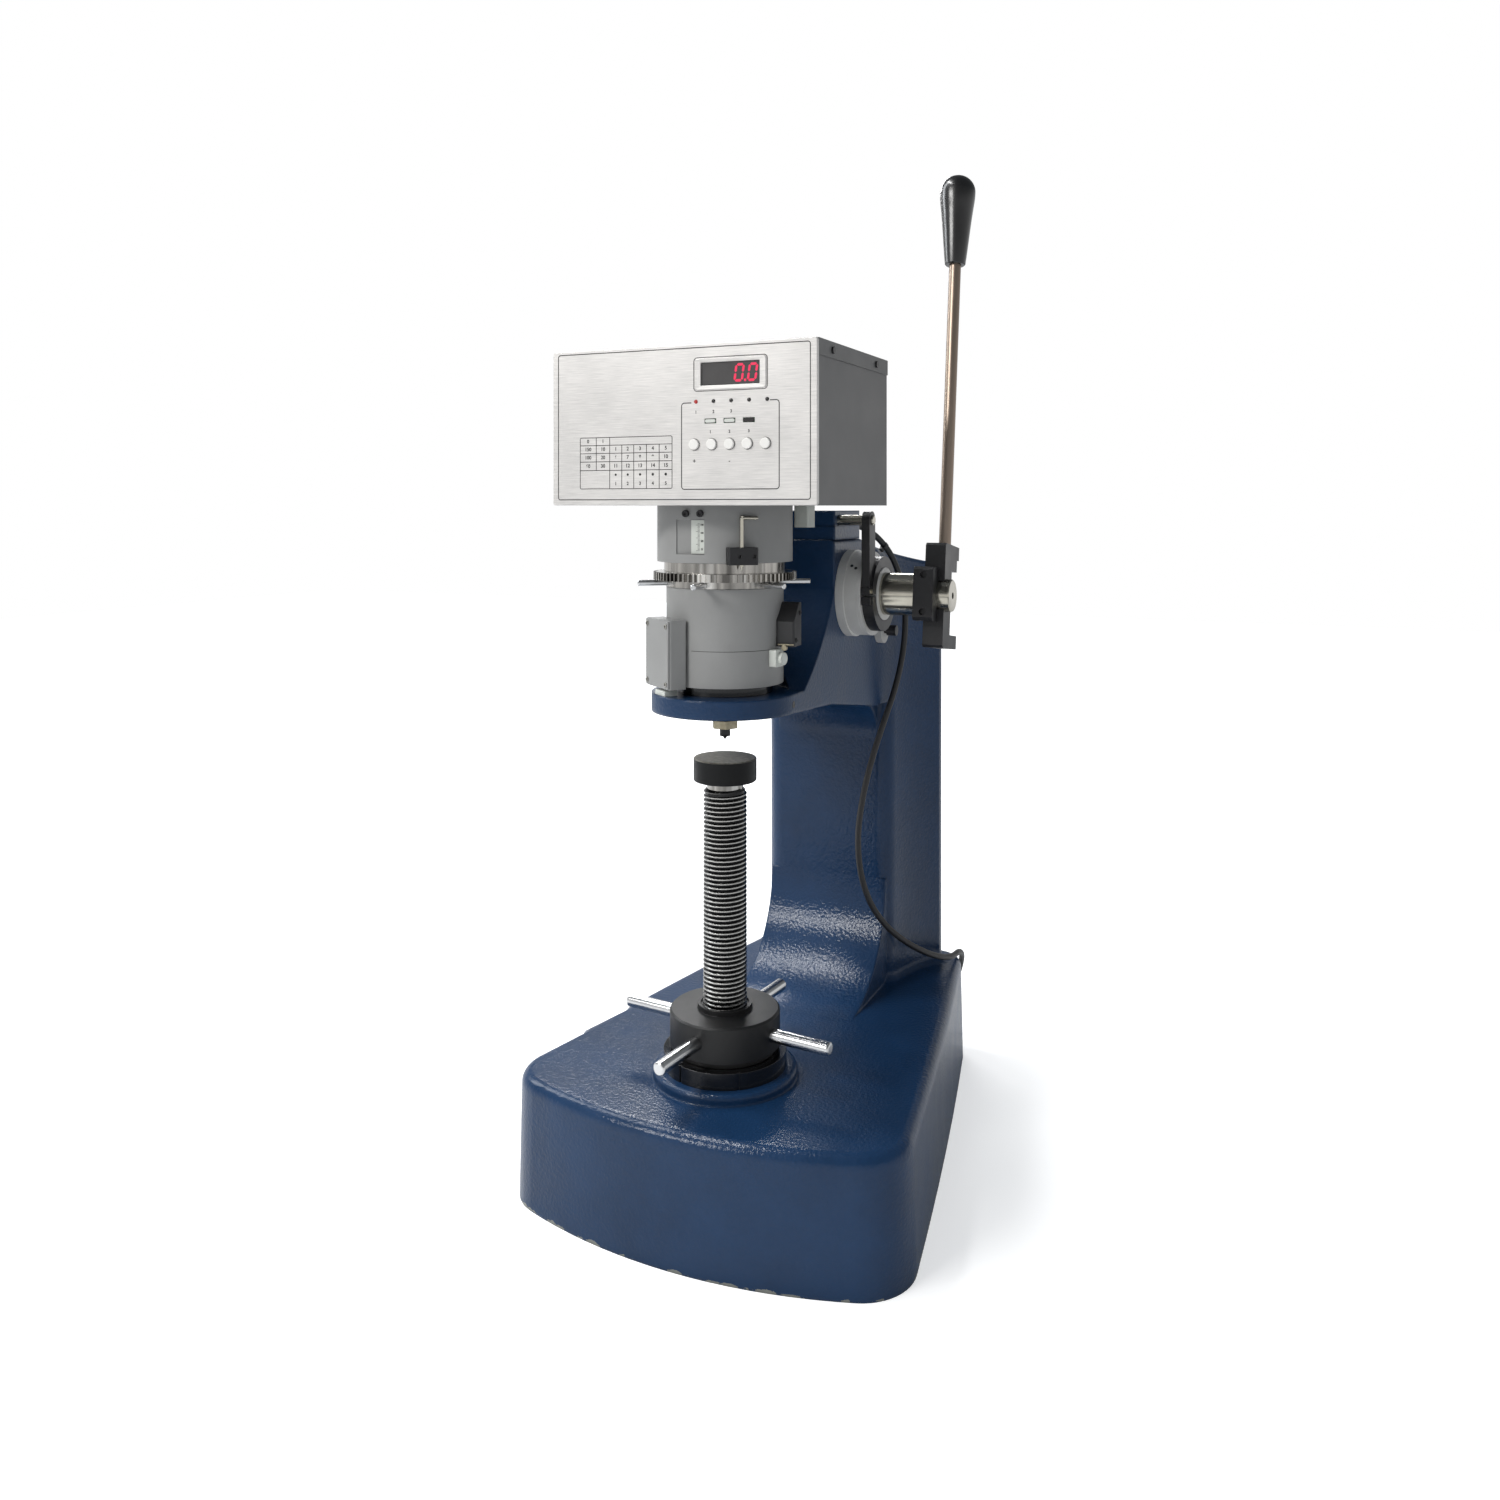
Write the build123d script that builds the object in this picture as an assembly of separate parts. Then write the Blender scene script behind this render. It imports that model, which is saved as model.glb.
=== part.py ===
"""Bench hardness tester: casting, elevating screw, loading head, lever drive and display box.

Millimetres. +Z is up, the floor is Z = 0, and the Z axis is the test axis, on which the
elevating screw, the anvil and the indenter lie. -Y is the front and +X the lever side.
"""
from build123d import *
import math
import os

# ---- test axis, bottom to top ---------------------------------------------------------
BASE_H = 112.0             # height of the base casting
BOSS_R = 65.0              # round boss on the base under the capstan
BOSS_H = 9.5
BOSS_EDGE_R = 4.0
COVER_R = 55.3             # black bearing cover
COVER_H = 14.5
NECK_R = 46.0              # neck of the capstan nut inside the bearing cover
NECK_H = 5.0
HUB_R = 49.5               # capstan nut
HUB_H = 31.0
COLLAR_R = 24.6            # raised collar round the screw
COLLAR_H = 4.5
SCREW_R = 19.7             # outside radius of the elevating screw
SCREW_LEN = 257.0
SCREW_PITCH = 4.0
ANVIL_R = 28.5
ANVIL_T = 20.5
ANVIL_NECK_R = 16.3
ANVIL_NECK_H = 7.0
TEST_GAP = 16.1            # anvil face to indenter tip at rest
HOLDER_R = 4.8
HOLDER_LEN = 10.5
NUT_H = 7.0
NUT_ACROSS = 21.5
BAR_R = 6.0                # capstan bars
BAR_TIP_R = 106.0
BAR_COUNT = 4
BAR_FIRST_DEG = -6.0
BAR_DEPTH = 15.0           # length of a bar inside the capstan nut
SCREW_DOWN = 98.0          # how far the screw goes down from rest

# ---- clearances -----------------------------------------------------------------------
FIT = 0.06                 # running fit, on the radius
GAP = 0.3                  # between pieces that move past each other
SLIP = 0.05                # between fixed pieces that slide together

# ---- base casting ---------------------------------------------------------------------
BASE_SHIFT = 5.0           # the base outline is this far to the lever side of the test axis
BASE_FRONT = -117.0        # foremost point of the bowed front
BASE_CORNER_X = 190.0      # half width and place of the front corners, before rounding
BASE_CORNER_Y = -76.0
BASE_SIDE_X = 157.0        # half width of the bowed sides at BASE_SIDE_Y
BASE_SIDE_Y = 150.0
BASE_REAR_X = 114.0
BASE_REAR = 390.0
BASE_CORNER_R = 50.0
BASE_REAR_CORNER_R = 30.0
BASE_EDGE_R = 10.5
BASE_DRAFT = 1.2           # degrees
BASE_WALL = 16.0
BASE_DECK = 20.0           # thickness of the base's top
PLATE_T = 6.0
PLATE_RIM = 8.0            # width of the rim outside the bottom cover plate
WELL_WALL = 13.0
PLATE_SCREW_R = 3.0
KEY_W = 5.0                # key that keeps the elevating screw from turning
KEY_H = 8.0
KEY_DROP = 20.0            # foot of the key below the base's top

# ---- column and arm -------------------------------------------------------------------
ARM_HALF = 66.0            # half width of the arm, and radius of its round front flange
FLANGE_T = 16.5
COLUMN_FRONT = 262.0
REAR_FLAT = 16.0           # upright side behind the flare
FLARE_START = 225.0        # the sides curve outwards from here
FLARE_HALF = 102.5         # half width at FLARE_END
FLARE_END = 344.0
COLUMN_EDGE_R = 18.0
REAR_EDGE_R = 9.0
SWEEP_R = 110.0            # concave sweep from the column's front into the base
SWEEP_EDGE_R = 9.0
FOOT_R = 9.0              # cove between column and base
FOOT_STEPS = 4
UNDER_R = 40.0             # fillet between column and the arm's underside
UNDER_REAR_DROP = 27.1     # underside of the arm at UNDER_REAR_Y, below the flange
UNDER_REAR_Y = 230.0
ARM_FACE_Y = 105.0         # upright front face of the arm
ARM_FACE_UP = 86.4          # its lower end above the flange, where the curved cheeks begin
CHEEK_FOOT_Y = 27.0        # the cheeks meet the flange here
ARM_TOP_UP = 133.4          # top of the arm above the flange
ARM_FLAT_Y = 184.0         # the top is level up to here and slopes down behind it
ARM_REAR_UP = 98.4
CRADLE_GAP = 5.0           # space between head and casting
COLUMN_WALL = 22.0

# ---- head -----------------------------------------------------------------------------
HEAD_R = 52.7              # lower housing
HEAD_COLLAR_R = 43.2
HEAD_COLLAR_H = 8.5
BAND_H = 32.0              # lower ring of the housing, up to the parting line
LOWER_H = 53.5
RING_LOW_H = 6.5           # force ring: lower band, toothed flange, upper band
RING_TOOTH_H = 7.0
RING_UP_H = 9.0
RING_UP_R = 54.8
TOOTH_R = 64.3
TOOTH_DEPTH = 2.8
TOOTH_COUNT = 80
PIN_R = 2.6                # radial pins of the force ring
PIN_TIP_R = 79.0
PIN_COUNT = 6
PIN_FIRST_DEG = -84.6
PIN_ROOT_R = 47.5
UPPER_R = 60.9
UPPER_H = 49.6
CORE_R = 46.0              # core tube that carries the housings
CORE_BORE = 38.0
SCALE_W = 13.0
SCALE_H = 29.0
SCALE_T = 1.0
RECESS_W = 28.0
RECESS_H = 30.0
RECESS_UP = 7.6            # flat milled for the scale, above the upper housing's foot
RECESS_Y = -57.0           # depth of the flat milled for the scale
DETENT_DEG = -51.5
DETENT_W = 26.0
DETENT_H = 14.8
DETENT_DROP = 1.0          # the detent block reaches this far below the upper housing
DETENT_OUT = 70.0
PLUNGER_R = 1.6
PLUNGER_AXIS_R = 63.0
PLUNGER_DROP = 9.0         # plunger's top below the display box
PLUNGER_HANDLE = 14.0
PLUNGER_STROKE = 6.5
CAP_SCREW_R = 3.0
CAP_SCREW_DROP = 7.0       # screws of the upper housing below the display box
SENSOR_DEG = -127.6
SENSOR_OUT = 66.0
SENSOR_W = 48.0
SENSOR_H = 60.0
SENSOR_UP = 6.9            # foot of the sensor's pocket above the flange
SENSOR_IN = 36.0
SWITCH_DEG = 4.0

# ---- loading mechanism ----------------------------------------------------------------
SPINDLE_R = 10.0
SPINDLE_DROP = 33.0        # spindle's top below the display box
GROOVE_UP = 43.4           # middle of the groove that the beam's nose works in, above the flange
NOSE_H = 12.0
GROOVE_R = 22.0
GROOVE_WALL = 6.0
SHOULDER_T = 4.0           # shoulder of the spindle under the load spring
LOAD_WIRE = 3.0
LOAD_TURNS = 3
RETURN_WIRE = 3.0
RETURN_TURNS = 6
SPRING_R = 17.0
SEAT_T = 6.0               # web of the core tube under the return spring
SHAFT_Y = 148.0            # lever shaft
SHAFT_UP = 80.4            # lever shaft above the flange
SHAFT_R = 20.6
JOURNAL_R = 17.0
BUSH_R = 22.0
BUSH_LEN = 20.0
SHAFT_LEFT = -50.0
STUB_R = 15.6
STUB_END = 170.0
CAM_R = 26.0
CAM_THROW = 5.0
CAM_T = 18.0
PIVOT_Y = 235.0
PIVOT_R = 6.0
BEAM_T = 16.0
SIDE_STOP_Y = 238.0        # plug and stop screw in the casting's side
SIDE_STOP_DROP = 8.0       # below the beam's middle
SIDE_STOP_R = 13.5
CHANNEL_HALF = 14.0
DRUM_R = 42.5
DRUM_STEP = 8.3
DRUM_FACE_R = 41.0
DRUM_END = 87.0
DRUM_WALL = 3.5
DRUM_NECK_R = 25.6
DRUM_NECK_END = 103.0
DRUM_LIP = 4.0
ANCHOR_R = 36.5
ANCHOR_T = 11.0
ANCHOR_ARM_Y = 117.0
ANCHOR_ARM_W = 17.0
ANCHOR_PIN_UP = 19.0       # above the arm's top
ANCHOR_PIN_R = 4.8
LEVER_LEAN = 7.8           # the lever leans back by this many degrees at rest
BRACKET_X = 144.0
BRACKET_T = 19.7
BRACKET_HALF = 50.0
SPINE_FRONT = -8.0         # of the bracket, measured from the shaft
SPINE_REAR = 17.0
TAB_REAR = 42.0
TAB_T = 13.0
HUB_BLOCK_X = 138.2
HUB_BLOCK_T = 19.3
HUB_BLOCK_DEPTH = 18.0
HUB_BLOCK_H = 51.0
ROD_R = 5.9
ROD_Y = 24.3
ROD_FOOT = 38.0            # height of the rod's lower end above the shaft
KNOB_Z = 335.0             # lower end of the knob above the shaft
KNOB_LEN = 94.0
KNOB_R = 17.8
KNOB_FOOT_R = 10.3

# ---- display box ----------------------------------------------------------------------
BOX_HALF = 124.0
BOX_FRONT = -90.0
BOX_REAR = 90.0
BOX_H = 134.0
PANEL_T = 3.0
SHEET = 1.5
LIP_T = 1.0
LIP_H = 13.5
BUTTON_R = 4.5
BUTTON_PROUD = 2.2
BUTTON_X = 14.6            # first button, and the step to the next
BUTTON_STEP = 16.1
BUTTON_Z = 50.5            # rows of the panel, measured from the box's bottom
LAMP_Z = 86.0
LAMP_R = 1.5
OBLONG_Z = 69.7
OBLONG_X = 29.4
OBLONG_STEP = 17.4
OBLONG_W = 10.5
OBLONG_H = 4.0
OBLONG_COUNT = 3
ROW_COUNT = 5
WINDOW_X = 47.4
WINDOW_Z = 108.5
WINDOW_W = 54.0
WINDOW_H = 19.5
BOARD_Y = -77.0
BOARD_LEFT = -6.0          # edges of the display board, the heights from the box's bottom
BOARD_RIGHT = 104.0
BOARD_LOW = 30.0
BOARD_HIGH = 128.0
TRANSFORMER_INSET = 54.0   # middle of the transformer from the box's left side and rear
CASE_SCREW_R = 1.5

# ---- cord -----------------------------------------------------------------------------
CORD_R = 3.25
GLAND_X = 52.0
GLAND_UP = 14.0            # above the arm's top
BLOCK_REAR = 177.0
BLOCK_DROP = 5.0           # block's top below the display box
COIL_X = 2.0
COIL_Y = 446.0
COIL_R = 36.5
COIL_W = 13.0
COIL_H = 19.5

# ---- heights that follow --------------------------------------------------------------
BOSS_Z = BASE_H + BOSS_H
COVER_Z = BOSS_Z + COVER_H
HUB_Z = COVER_Z + NECK_H
HUB_TOP = HUB_Z + HUB_H
COLLAR_TOP = HUB_TOP + COLLAR_H
SCREW_FOOT = BASE_H
SCREW_TOP = SCREW_FOOT + SCREW_LEN
ANVIL_Z = SCREW_TOP + ANVIL_NECK_H
ANVIL_TOP = ANVIL_Z + ANVIL_T
TIP_Z = ANVIL_TOP + TEST_GAP
HOLDER_TOP = TIP_Z + HOLDER_LEN
NUT_TOP = HOLDER_TOP + NUT_H
FLANGE_Z = NUT_TOP + 10.0
FLANGE_TOP = FLANGE_Z + FLANGE_T
HEAD_Z = FLANGE_TOP + HEAD_COLLAR_H
PARTING_Z = HEAD_Z + BAND_H
RING_Z = PARTING_Z + LOWER_H
TOOTH_Z = RING_Z + RING_LOW_H
TOOTH_TOP = TOOTH_Z + RING_TOOTH_H
RING_TOP = TOOTH_TOP + RING_UP_H
UPPER_Z = RING_TOP + GAP
BOX_Z = UPPER_Z + UPPER_H
BAR_Z = HUB_Z + HUB_H / 2
SPINDLE_TRAVEL = 11.2
SHOULDER_Z = FLANGE_TOP + SPINDLE_TRAVEL + 0.6
GROOVE_Z = FLANGE_TOP + GROOVE_UP
SEAT_Z = GROOVE_Z + NOSE_H / 2 + GROOVE_WALL + 6.0
CRADLE_R = HEAD_R + CRADLE_GAP
COLUMN_REAR = FLARE_END + REAR_FLAT
KEY_FOOT = BASE_H - KEY_DROP
UNDER_REAR_Z = FLANGE_Z - UNDER_REAR_DROP
ARM_FACE_Z = FLANGE_TOP + ARM_FACE_UP
ARM_TOP_Z = FLANGE_TOP + ARM_TOP_UP
ARM_REAR_Z = FLANGE_TOP + ARM_REAR_UP
SHAFT_Z = FLANGE_TOP + SHAFT_UP
SENSOR_Z = FLANGE_TOP + SENSOR_UP
RECESS_Z = UPPER_Z + RECESS_UP
DETENT_Z = UPPER_Z - DETENT_DROP
PLUNGER_TOP = BOX_Z - PLUNGER_DROP
SPINDLE_TOP = BOX_Z - SPINDLE_DROP
CAP_SCREW_Z = BOX_Z - CAP_SCREW_DROP
BLOCK_TOP = BOX_Z - BLOCK_DROP
ANCHOR_PIN_Z = ARM_TOP_Z + ANCHOR_PIN_UP
GLAND_Z = ARM_TOP_Z + GLAND_UP

nodes = {}


# ---- helpers --------------------------------------------------------------------------
def cyl_z(r, z0, z1, x=0.0, y=0.0):
    return Pos(x, y, (z0 + z1) / 2) * Cylinder(r, z1 - z0)


def cyl_x(r, x0, x1, y, z):
    return Pos((x0 + x1) / 2, y, z) * Rot(0, 90, 0) * Cylinder(r, x1 - x0)


def cyl_y(r, y0, y1, x, z):
    return Pos(x, (y0 + y1) / 2, z) * Rot(90, 0, 0) * Cylinder(r, y1 - y0)


def block(x0, x1, y0, y1, z0, z1):
    return Pos((x0 + x1) / 2, (y0 + y1) / 2, (z0 + z1) / 2) * Box(x1 - x0, y1 - y0, z1 - z0)


def side_plate(outline, x0, x1):
    """Extrude a closed outline of (y, z) points or curves from x0 to x1."""
    face = make_face(Plane.YZ * outline)
    return Pos(x0, 0, 0) * extrude(face, amount=x1 - x0, dir=(1, 0, 0))


def about_z(shape, degrees):
    return Rot(0, 0, degrees) * shape


def group(shapes):
    return Compound(children=list(shapes))


# ---- base, column and arm: one casting ------------------------------------------------
def base_outline(inset=0.0):
    """Outline of the base, drawn inwards by inset."""
    corner_x = BASE_CORNER_X - inset
    corner_y = BASE_CORNER_Y + inset
    side_x = BASE_SIDE_X - inset
    rear_x = BASE_REAR_X - inset
    rear_y = BASE_REAR - inset
    front = ThreePointArc((-corner_x, corner_y), (0, BASE_FRONT + inset), (corner_x, corner_y))
    right = ThreePointArc((corner_x, corner_y), (side_x, BASE_SIDE_Y), (rear_x, rear_y))
    rear = Line((rear_x, rear_y), (-rear_x, rear_y))
    left = ThreePointArc((-rear_x, rear_y), (-side_x, BASE_SIDE_Y), (-corner_x, corner_y))
    face = make_face([front, right, rear, left])
    face = fillet(face.vertices().group_by(Axis.Y)[0], BASE_CORNER_R - inset)
    face = fillet(face.vertices().group_by(Axis.Y)[-1], BASE_REAR_CORNER_R - inset)
    return Pos(BASE_SHIFT, 0, 0) * face


def flare_arc(side, grow=0.0):
    """Concave curve of one side, from the arm's width to the column's rear width."""
    run = FLARE_END - FLARE_START
    rise = FLARE_HALF - ARM_HALF
    radius = (run ** 2 + rise ** 2) / (2 * rise)
    half = math.asin(run / radius) / 2
    mid_x = ARM_HALF + grow + radius * (1 - math.cos(half))
    mid_y = FLARE_START + radius * math.sin(half)
    near = (side * (ARM_HALF + grow), FLARE_START)
    far = (side * (FLARE_HALF + grow), FLARE_END)
    return ThreePointArc(near, (side * mid_x, mid_y), far)


def plan(front_lines, grow=0.0):
    """Plan of the casting behind the given front lines, with its flared sides."""
    half = FLARE_HALF + grow
    back = COLUMN_REAR + grow
    right_rear = Line((half, FLARE_END), (half, back))
    rear = Line((half, back), (-half, back))
    left_rear = Line((-half, back), (-half, FLARE_END))
    return make_face([flare_arc(1, grow), right_rear, rear, left_rear, flare_arc(-1, grow)] + front_lines)


def column_plan(grow=0.0):
    half = ARM_HALF + grow
    face = plan([Line((-half, FLARE_START), (half, FLARE_START))], grow)
    ahead = COLUMN_FRONT - grow
    face -= Pos(0, ahead / 2, 0) * Rectangle(4 * ARM_HALF, ahead)
    face = face.faces()[0]
    front = face.vertices().group_by(Axis.Y)[0]
    face = fillet(front, COLUMN_EDGE_R + grow)
    rear = face.vertices().group_by(Axis.Y)[-1]
    return fillet(rear, REAR_EDGE_R + grow)


def column_foot():
    """Cove between the column and the base's top, in straight steps that follow a quarter round."""
    sections = [Pos(0, 0, BASE_H - 2) * column_plan(FOOT_R)]
    for k in range(FOOT_STEPS + 1):
        turn = math.radians(90 * k / FOOT_STEPS)
        grow = FOOT_R * (1 - math.sin(turn))
        rise = FOOT_R * (1 - math.cos(turn))
        sections.append(Pos(0, 0, BASE_H + rise) * column_plan(grow))
    return loft(sections, ruled=True)


def arm_plan():
    nose = ThreePointArc((-ARM_HALF, 0), (0, -ARM_HALF), (ARM_HALF, 0))
    face = plan([Line((-ARM_HALF, FLARE_START), (-ARM_HALF, 0)), nose, Line((ARM_HALF, 0), (ARM_HALF, FLARE_START))])
    rear = face.vertices().group_by(Axis.Y)[-1]
    return fillet(rear, REAR_EDGE_R)


def arm_profile():
    """Side view of the arm: flange, curved cheek, upright face, sloping top and underside."""
    front = -ARM_HALF - 5
    back = COLUMN_REAR + 5
    cheek_mid = ((CHEEK_FOOT_Y + ARM_FACE_Y) / 2 + 6, (FLANGE_TOP + ARM_FACE_Z) / 2 - 4)
    under_slope = (FLANGE_Z - 6 - UNDER_REAR_Z) / (UNDER_REAR_Y - 98.0)
    under_mid = UNDER_REAR_Z + under_slope * (UNDER_REAR_Y - 98.0)
    return Curve() + [
        Line((front, FLANGE_Z), (front, FLANGE_TOP)),
        Line((front, FLANGE_TOP), (CHEEK_FOOT_Y, FLANGE_TOP)),
        ThreePointArc((CHEEK_FOOT_Y, FLANGE_TOP), cheek_mid, (ARM_FACE_Y, ARM_FACE_Z)),
        Line((ARM_FACE_Y, ARM_FACE_Z), (ARM_FACE_Y, ARM_TOP_Z)),
        Line((ARM_FACE_Y, ARM_TOP_Z), (ARM_FLAT_Y, ARM_TOP_Z)),
        Line((ARM_FLAT_Y, ARM_TOP_Z), (back, ARM_REAR_Z)),
        Line((back, ARM_REAR_Z), (back, UNDER_REAR_Z)),
        Line((back, UNDER_REAR_Z), (UNDER_REAR_Y, UNDER_REAR_Z)),
        Line((UNDER_REAR_Y, UNDER_REAR_Z), (98.0, under_mid)),
        Line((98.0, under_mid), (0, FLANGE_Z)),
        Line((0, FLANGE_Z), (front, FLANGE_Z)),
    ]


def arm_solid():
    tall = extrude(arm_plan(), amount=ARM_TOP_Z + 10)
    wide = side_plate(arm_profile(), -FLARE_HALF - 5, FLARE_HALF + 5)
    arm = tall & wide
    top = arm.faces().filter_by(lambda f: f.normal_at().Z > 0.9 and f.center().Z > ARM_REAR_Z - 5)
    rim = [e for f in top for e in f.edges() if abs(e.center().X) > ARM_HALF - 8]
    return fillet(rim, 5.0)


def base_solid():
    body = extrude(base_outline(), amount=BASE_H, taper=BASE_DRAFT)
    return fillet(body.faces().sort_by(Axis.Z)[-1].edges(), BASE_EDGE_R)


def sweep_solid():
    """Concave sweep from the front of the column down to the top of the base."""
    high = BASE_H + SWEEP_R
    near = COLUMN_FRONT - SWEEP_R
    mid = (COLUMN_FRONT - SWEEP_R * (1 - math.sqrt(0.5)), high - SWEEP_R * math.sqrt(0.5))
    low = BASE_H - 10
    back = COLUMN_FRONT + 25
    outline = Curve() + [
        ThreePointArc((near, BASE_H), mid, (COLUMN_FRONT, high)),
        Line((COLUMN_FRONT, high), (back, high)),
        Line((back, high), (back, low)),
        Line((back, low), (near, low)),
        Line((near, low), (near, BASE_H)),
    ]
    return side_plate(outline, -ARM_HALF, ARM_HALF)


def underside_fillet():
    mid = (COLUMN_FRONT - UNDER_R * (1 - math.sqrt(0.5)), UNDER_REAR_Z - UNDER_R * (1 - math.sqrt(0.5)))
    top = UNDER_REAR_Z + 5
    back = COLUMN_FRONT + 10
    outline = Curve() + [
        ThreePointArc((COLUMN_FRONT - UNDER_R, UNDER_REAR_Z), mid, (COLUMN_FRONT, UNDER_REAR_Z - UNDER_R)),
        Line((COLUMN_FRONT, UNDER_REAR_Z - UNDER_R), (back, UNDER_REAR_Z - UNDER_R)),
        Line((back, UNDER_REAR_Z - UNDER_R), (back, top)),
        Line((back, top), (COLUMN_FRONT - UNDER_R, top)),
        Line((COLUMN_FRONT - UNDER_R, top), (COLUMN_FRONT - UNDER_R, UNDER_REAR_Z)),
    ]
    half = ARM_HALF - COLUMN_EDGE_R / 2
    return side_plate(outline, -half, half)


def casting():
    body = base_solid()
    column = Pos(0, 0, BASE_H - 5) * extrude(column_plan(), amount=UNDER_REAR_Z - BASE_H + 15)
    body = body + column + column_foot()
    body = body + sweep_solid() + underside_fillet() + arm_solid()
    boss = cyl_z(BOSS_R, BASE_H - 5, BOSS_Z)
    body = body + fillet(boss.edges().filter_by(GeomType.CIRCLE).sort_by(Axis.Z)[-1], BOSS_EDGE_R)
    return hollow_casting(body)


def plate_screw_places():
    rear = BASE_REAR - 34
    return [(BASE_SHIFT + s * x, y) for s in (-1, 1) for x, y in ((138, -58), (134, 120), (84, rear))]


def plate_lugs():
    """Lugs inside the base that the cover plate's screws go into."""
    return [cyl_z(12, PLATE_T, BASE_H - BASE_DECK + 1, x, y) for x, y in plate_screw_places()]


def plate_screw(x, y):
    """Countersunk screw, its head flush in the cover plate."""
    head = Pos(x, y, 2.0) * Cone(PLATE_SCREW_R * 2, PLATE_SCREW_R, 3.0)
    return head + cyl_z(PLATE_SCREW_R, 3.0, PLATE_T + 12, x, y) - cyl_z(1.6, 0, 2.0, x, y)


def cover_plate():
    body = extrude(base_outline(PLATE_RIM + GAP), amount=PLATE_T)
    for x, y in plate_screw_places():
        body = body - Pos(x, y, 1.75) * Cone(PLATE_SCREW_R * 2 + 0.5, PLATE_SCREW_R + SLIP, 3.5)
        body = body - cyl_z(PLATE_SCREW_R + SLIP, 0, PLATE_T + 1, x, y)
    return body


def hollow_casting(body):
    """Cut the open underside, the screw's well, the head's seat and the shaft bores."""
    pocket = extrude(base_outline(BASE_WALL), amount=BASE_H - BASE_DECK)
    well = cyl_z(SCREW_R + WELL_WALL, PLATE_T, BASE_H)
    rebate = extrude(base_outline(PLATE_RIM), amount=PLATE_T)
    core = block(-FLARE_HALF / 2, FLARE_HALF / 2, COLUMN_FRONT + COLUMN_WALL, COLUMN_REAR - COLUMN_WALL,
                 PLATE_T, UNDER_REAR_Z)
    body = body - (pocket - well - plate_lugs()) - rebate - core
    for x, y in plate_screw_places():
        body = body - cyl_z(PLATE_SCREW_R + SLIP, PLATE_T - 1, PLATE_T + 13, x, y)
    key_back = SCREW_R + KEY_H
    body = body - block(-KEY_W / 2, KEY_W / 2, SCREW_R - 1, key_back, KEY_FOOT, BOSS_Z + 1)
    body = body - cyl_z(SCREW_R + FIT, PLATE_T - 1, BOSS_Z + 1)
    body = body - cyl_z(CRADLE_R, FLANGE_TOP, ARM_TOP_Z + 50)
    body = body - cyl_z(SPINDLE_R + 8, FLANGE_Z - 1, FLANGE_TOP + 1)
    channel_top = GROOVE_Z + 26
    body = body - block(-CHANNEL_HALF, CHANNEL_HALF, CORE_BORE, PIVOT_Y + 18, GROOVE_Z - 29, channel_top)
    body = body - cyl_x(CAM_R + CAM_THROW + 2, -CHANNEL_HALF, CHANNEL_HALF, SHAFT_Y, SHAFT_Z)
    body = body - cyl_x(BUSH_R + SLIP, SHAFT_LEFT - 1, ARM_HALF + 1, SHAFT_Y, SHAFT_Z)
    body = body - cyl_x(PIVOT_R + SLIP, -CHANNEL_HALF - 20, CHANNEL_HALF + 20, PIVOT_Y, GROOVE_Z)
    body = body - cyl_x(ANCHOR_PIN_R + SLIP, ARM_HALF - 20, ARM_HALF + 1, ANCHOR_ARM_Y, ANCHOR_PIN_Z)
    return body


nodes["base_column_casting"] = casting()
nodes["base_cover_plate"] = cover_plate()
nodes["base_plate_screws"] = group(plate_screw(x, y) for x, y in plate_screw_places())


# ---- capstan and elevating screw ------------------------------------------------------
def bearing_cover():
    ring = cyl_z(COVER_R, BOSS_Z, COVER_Z) - cyl_z(NECK_R + 0.5, BOSS_Z + 6, COVER_Z)
    ring = chamfer(ring.edges().filter_by(GeomType.CIRCLE).group_by(Axis.Z)[-1][-1:], 1.0)
    ring = ring - cyl_z(SCREW_R + 1.5, BOSS_Z, BOSS_Z + 6)
    for degrees in (-109.0, -53.0):
        ring = ring - about_z(block(COVER_R - 1.2, COVER_R + 1, -1.2, 1.2, BOSS_Z, COVER_Z), degrees)
    return ring


def capstan_nut():
    body = cyl_z(HUB_R, HUB_Z, HUB_TOP)
    rim = body.edges().filter_by(GeomType.CIRCLE).sort_by(Axis.Z)[-1]
    body = chamfer(rim, 1.6)
    body = body + cyl_z(NECK_R, COVER_Z, HUB_Z) + cyl_z(COLLAR_R, HUB_TOP - 1, COLLAR_TOP)
    body = body - cyl_z(SCREW_R + FIT, COVER_Z - 1, COLLAR_TOP + 1)
    body = body - cyl_z(SCREW_R + 2.0, COLLAR_TOP - 2, COLLAR_TOP + 1)
    for k in range(BAR_COUNT):
        hole = cyl_x(BAR_R + SLIP, HUB_R - BAR_DEPTH, HUB_R + 1, 0, BAR_Z)
        body = body - about_z(hole, BAR_FIRST_DEG + 360 / BAR_COUNT * k)
    return body


def capstan_bar():
    bar = cyl_x(BAR_R, HUB_R - BAR_DEPTH, BAR_TIP_R, 0, BAR_Z)
    tip = bar.edges().filter_by(GeomType.CIRCLE).sort_by(Axis.X)[-1]
    return fillet(tip, 2.4)


def elevating_screw():
    body = cyl_z(SCREW_R, SCREW_FOOT, SCREW_TOP)
    body = chamfer(body.edges().filter_by(GeomType.CIRCLE), 1.5)
    half = KEY_W / 2 + 0.1
    return body - block(-half, half, SCREW_R - 2.5, SCREW_R + 1, SCREW_FOOT - 1, SCREW_TOP - 12)


def anvil():
    disc = cyl_z(ANVIL_R, ANVIL_Z, ANVIL_TOP)
    disc = chamfer(disc.edges().filter_by(GeomType.CIRCLE), 0.8)
    return disc + cyl_z(ANVIL_NECK_R, SCREW_TOP, ANVIL_Z + 1)


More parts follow.
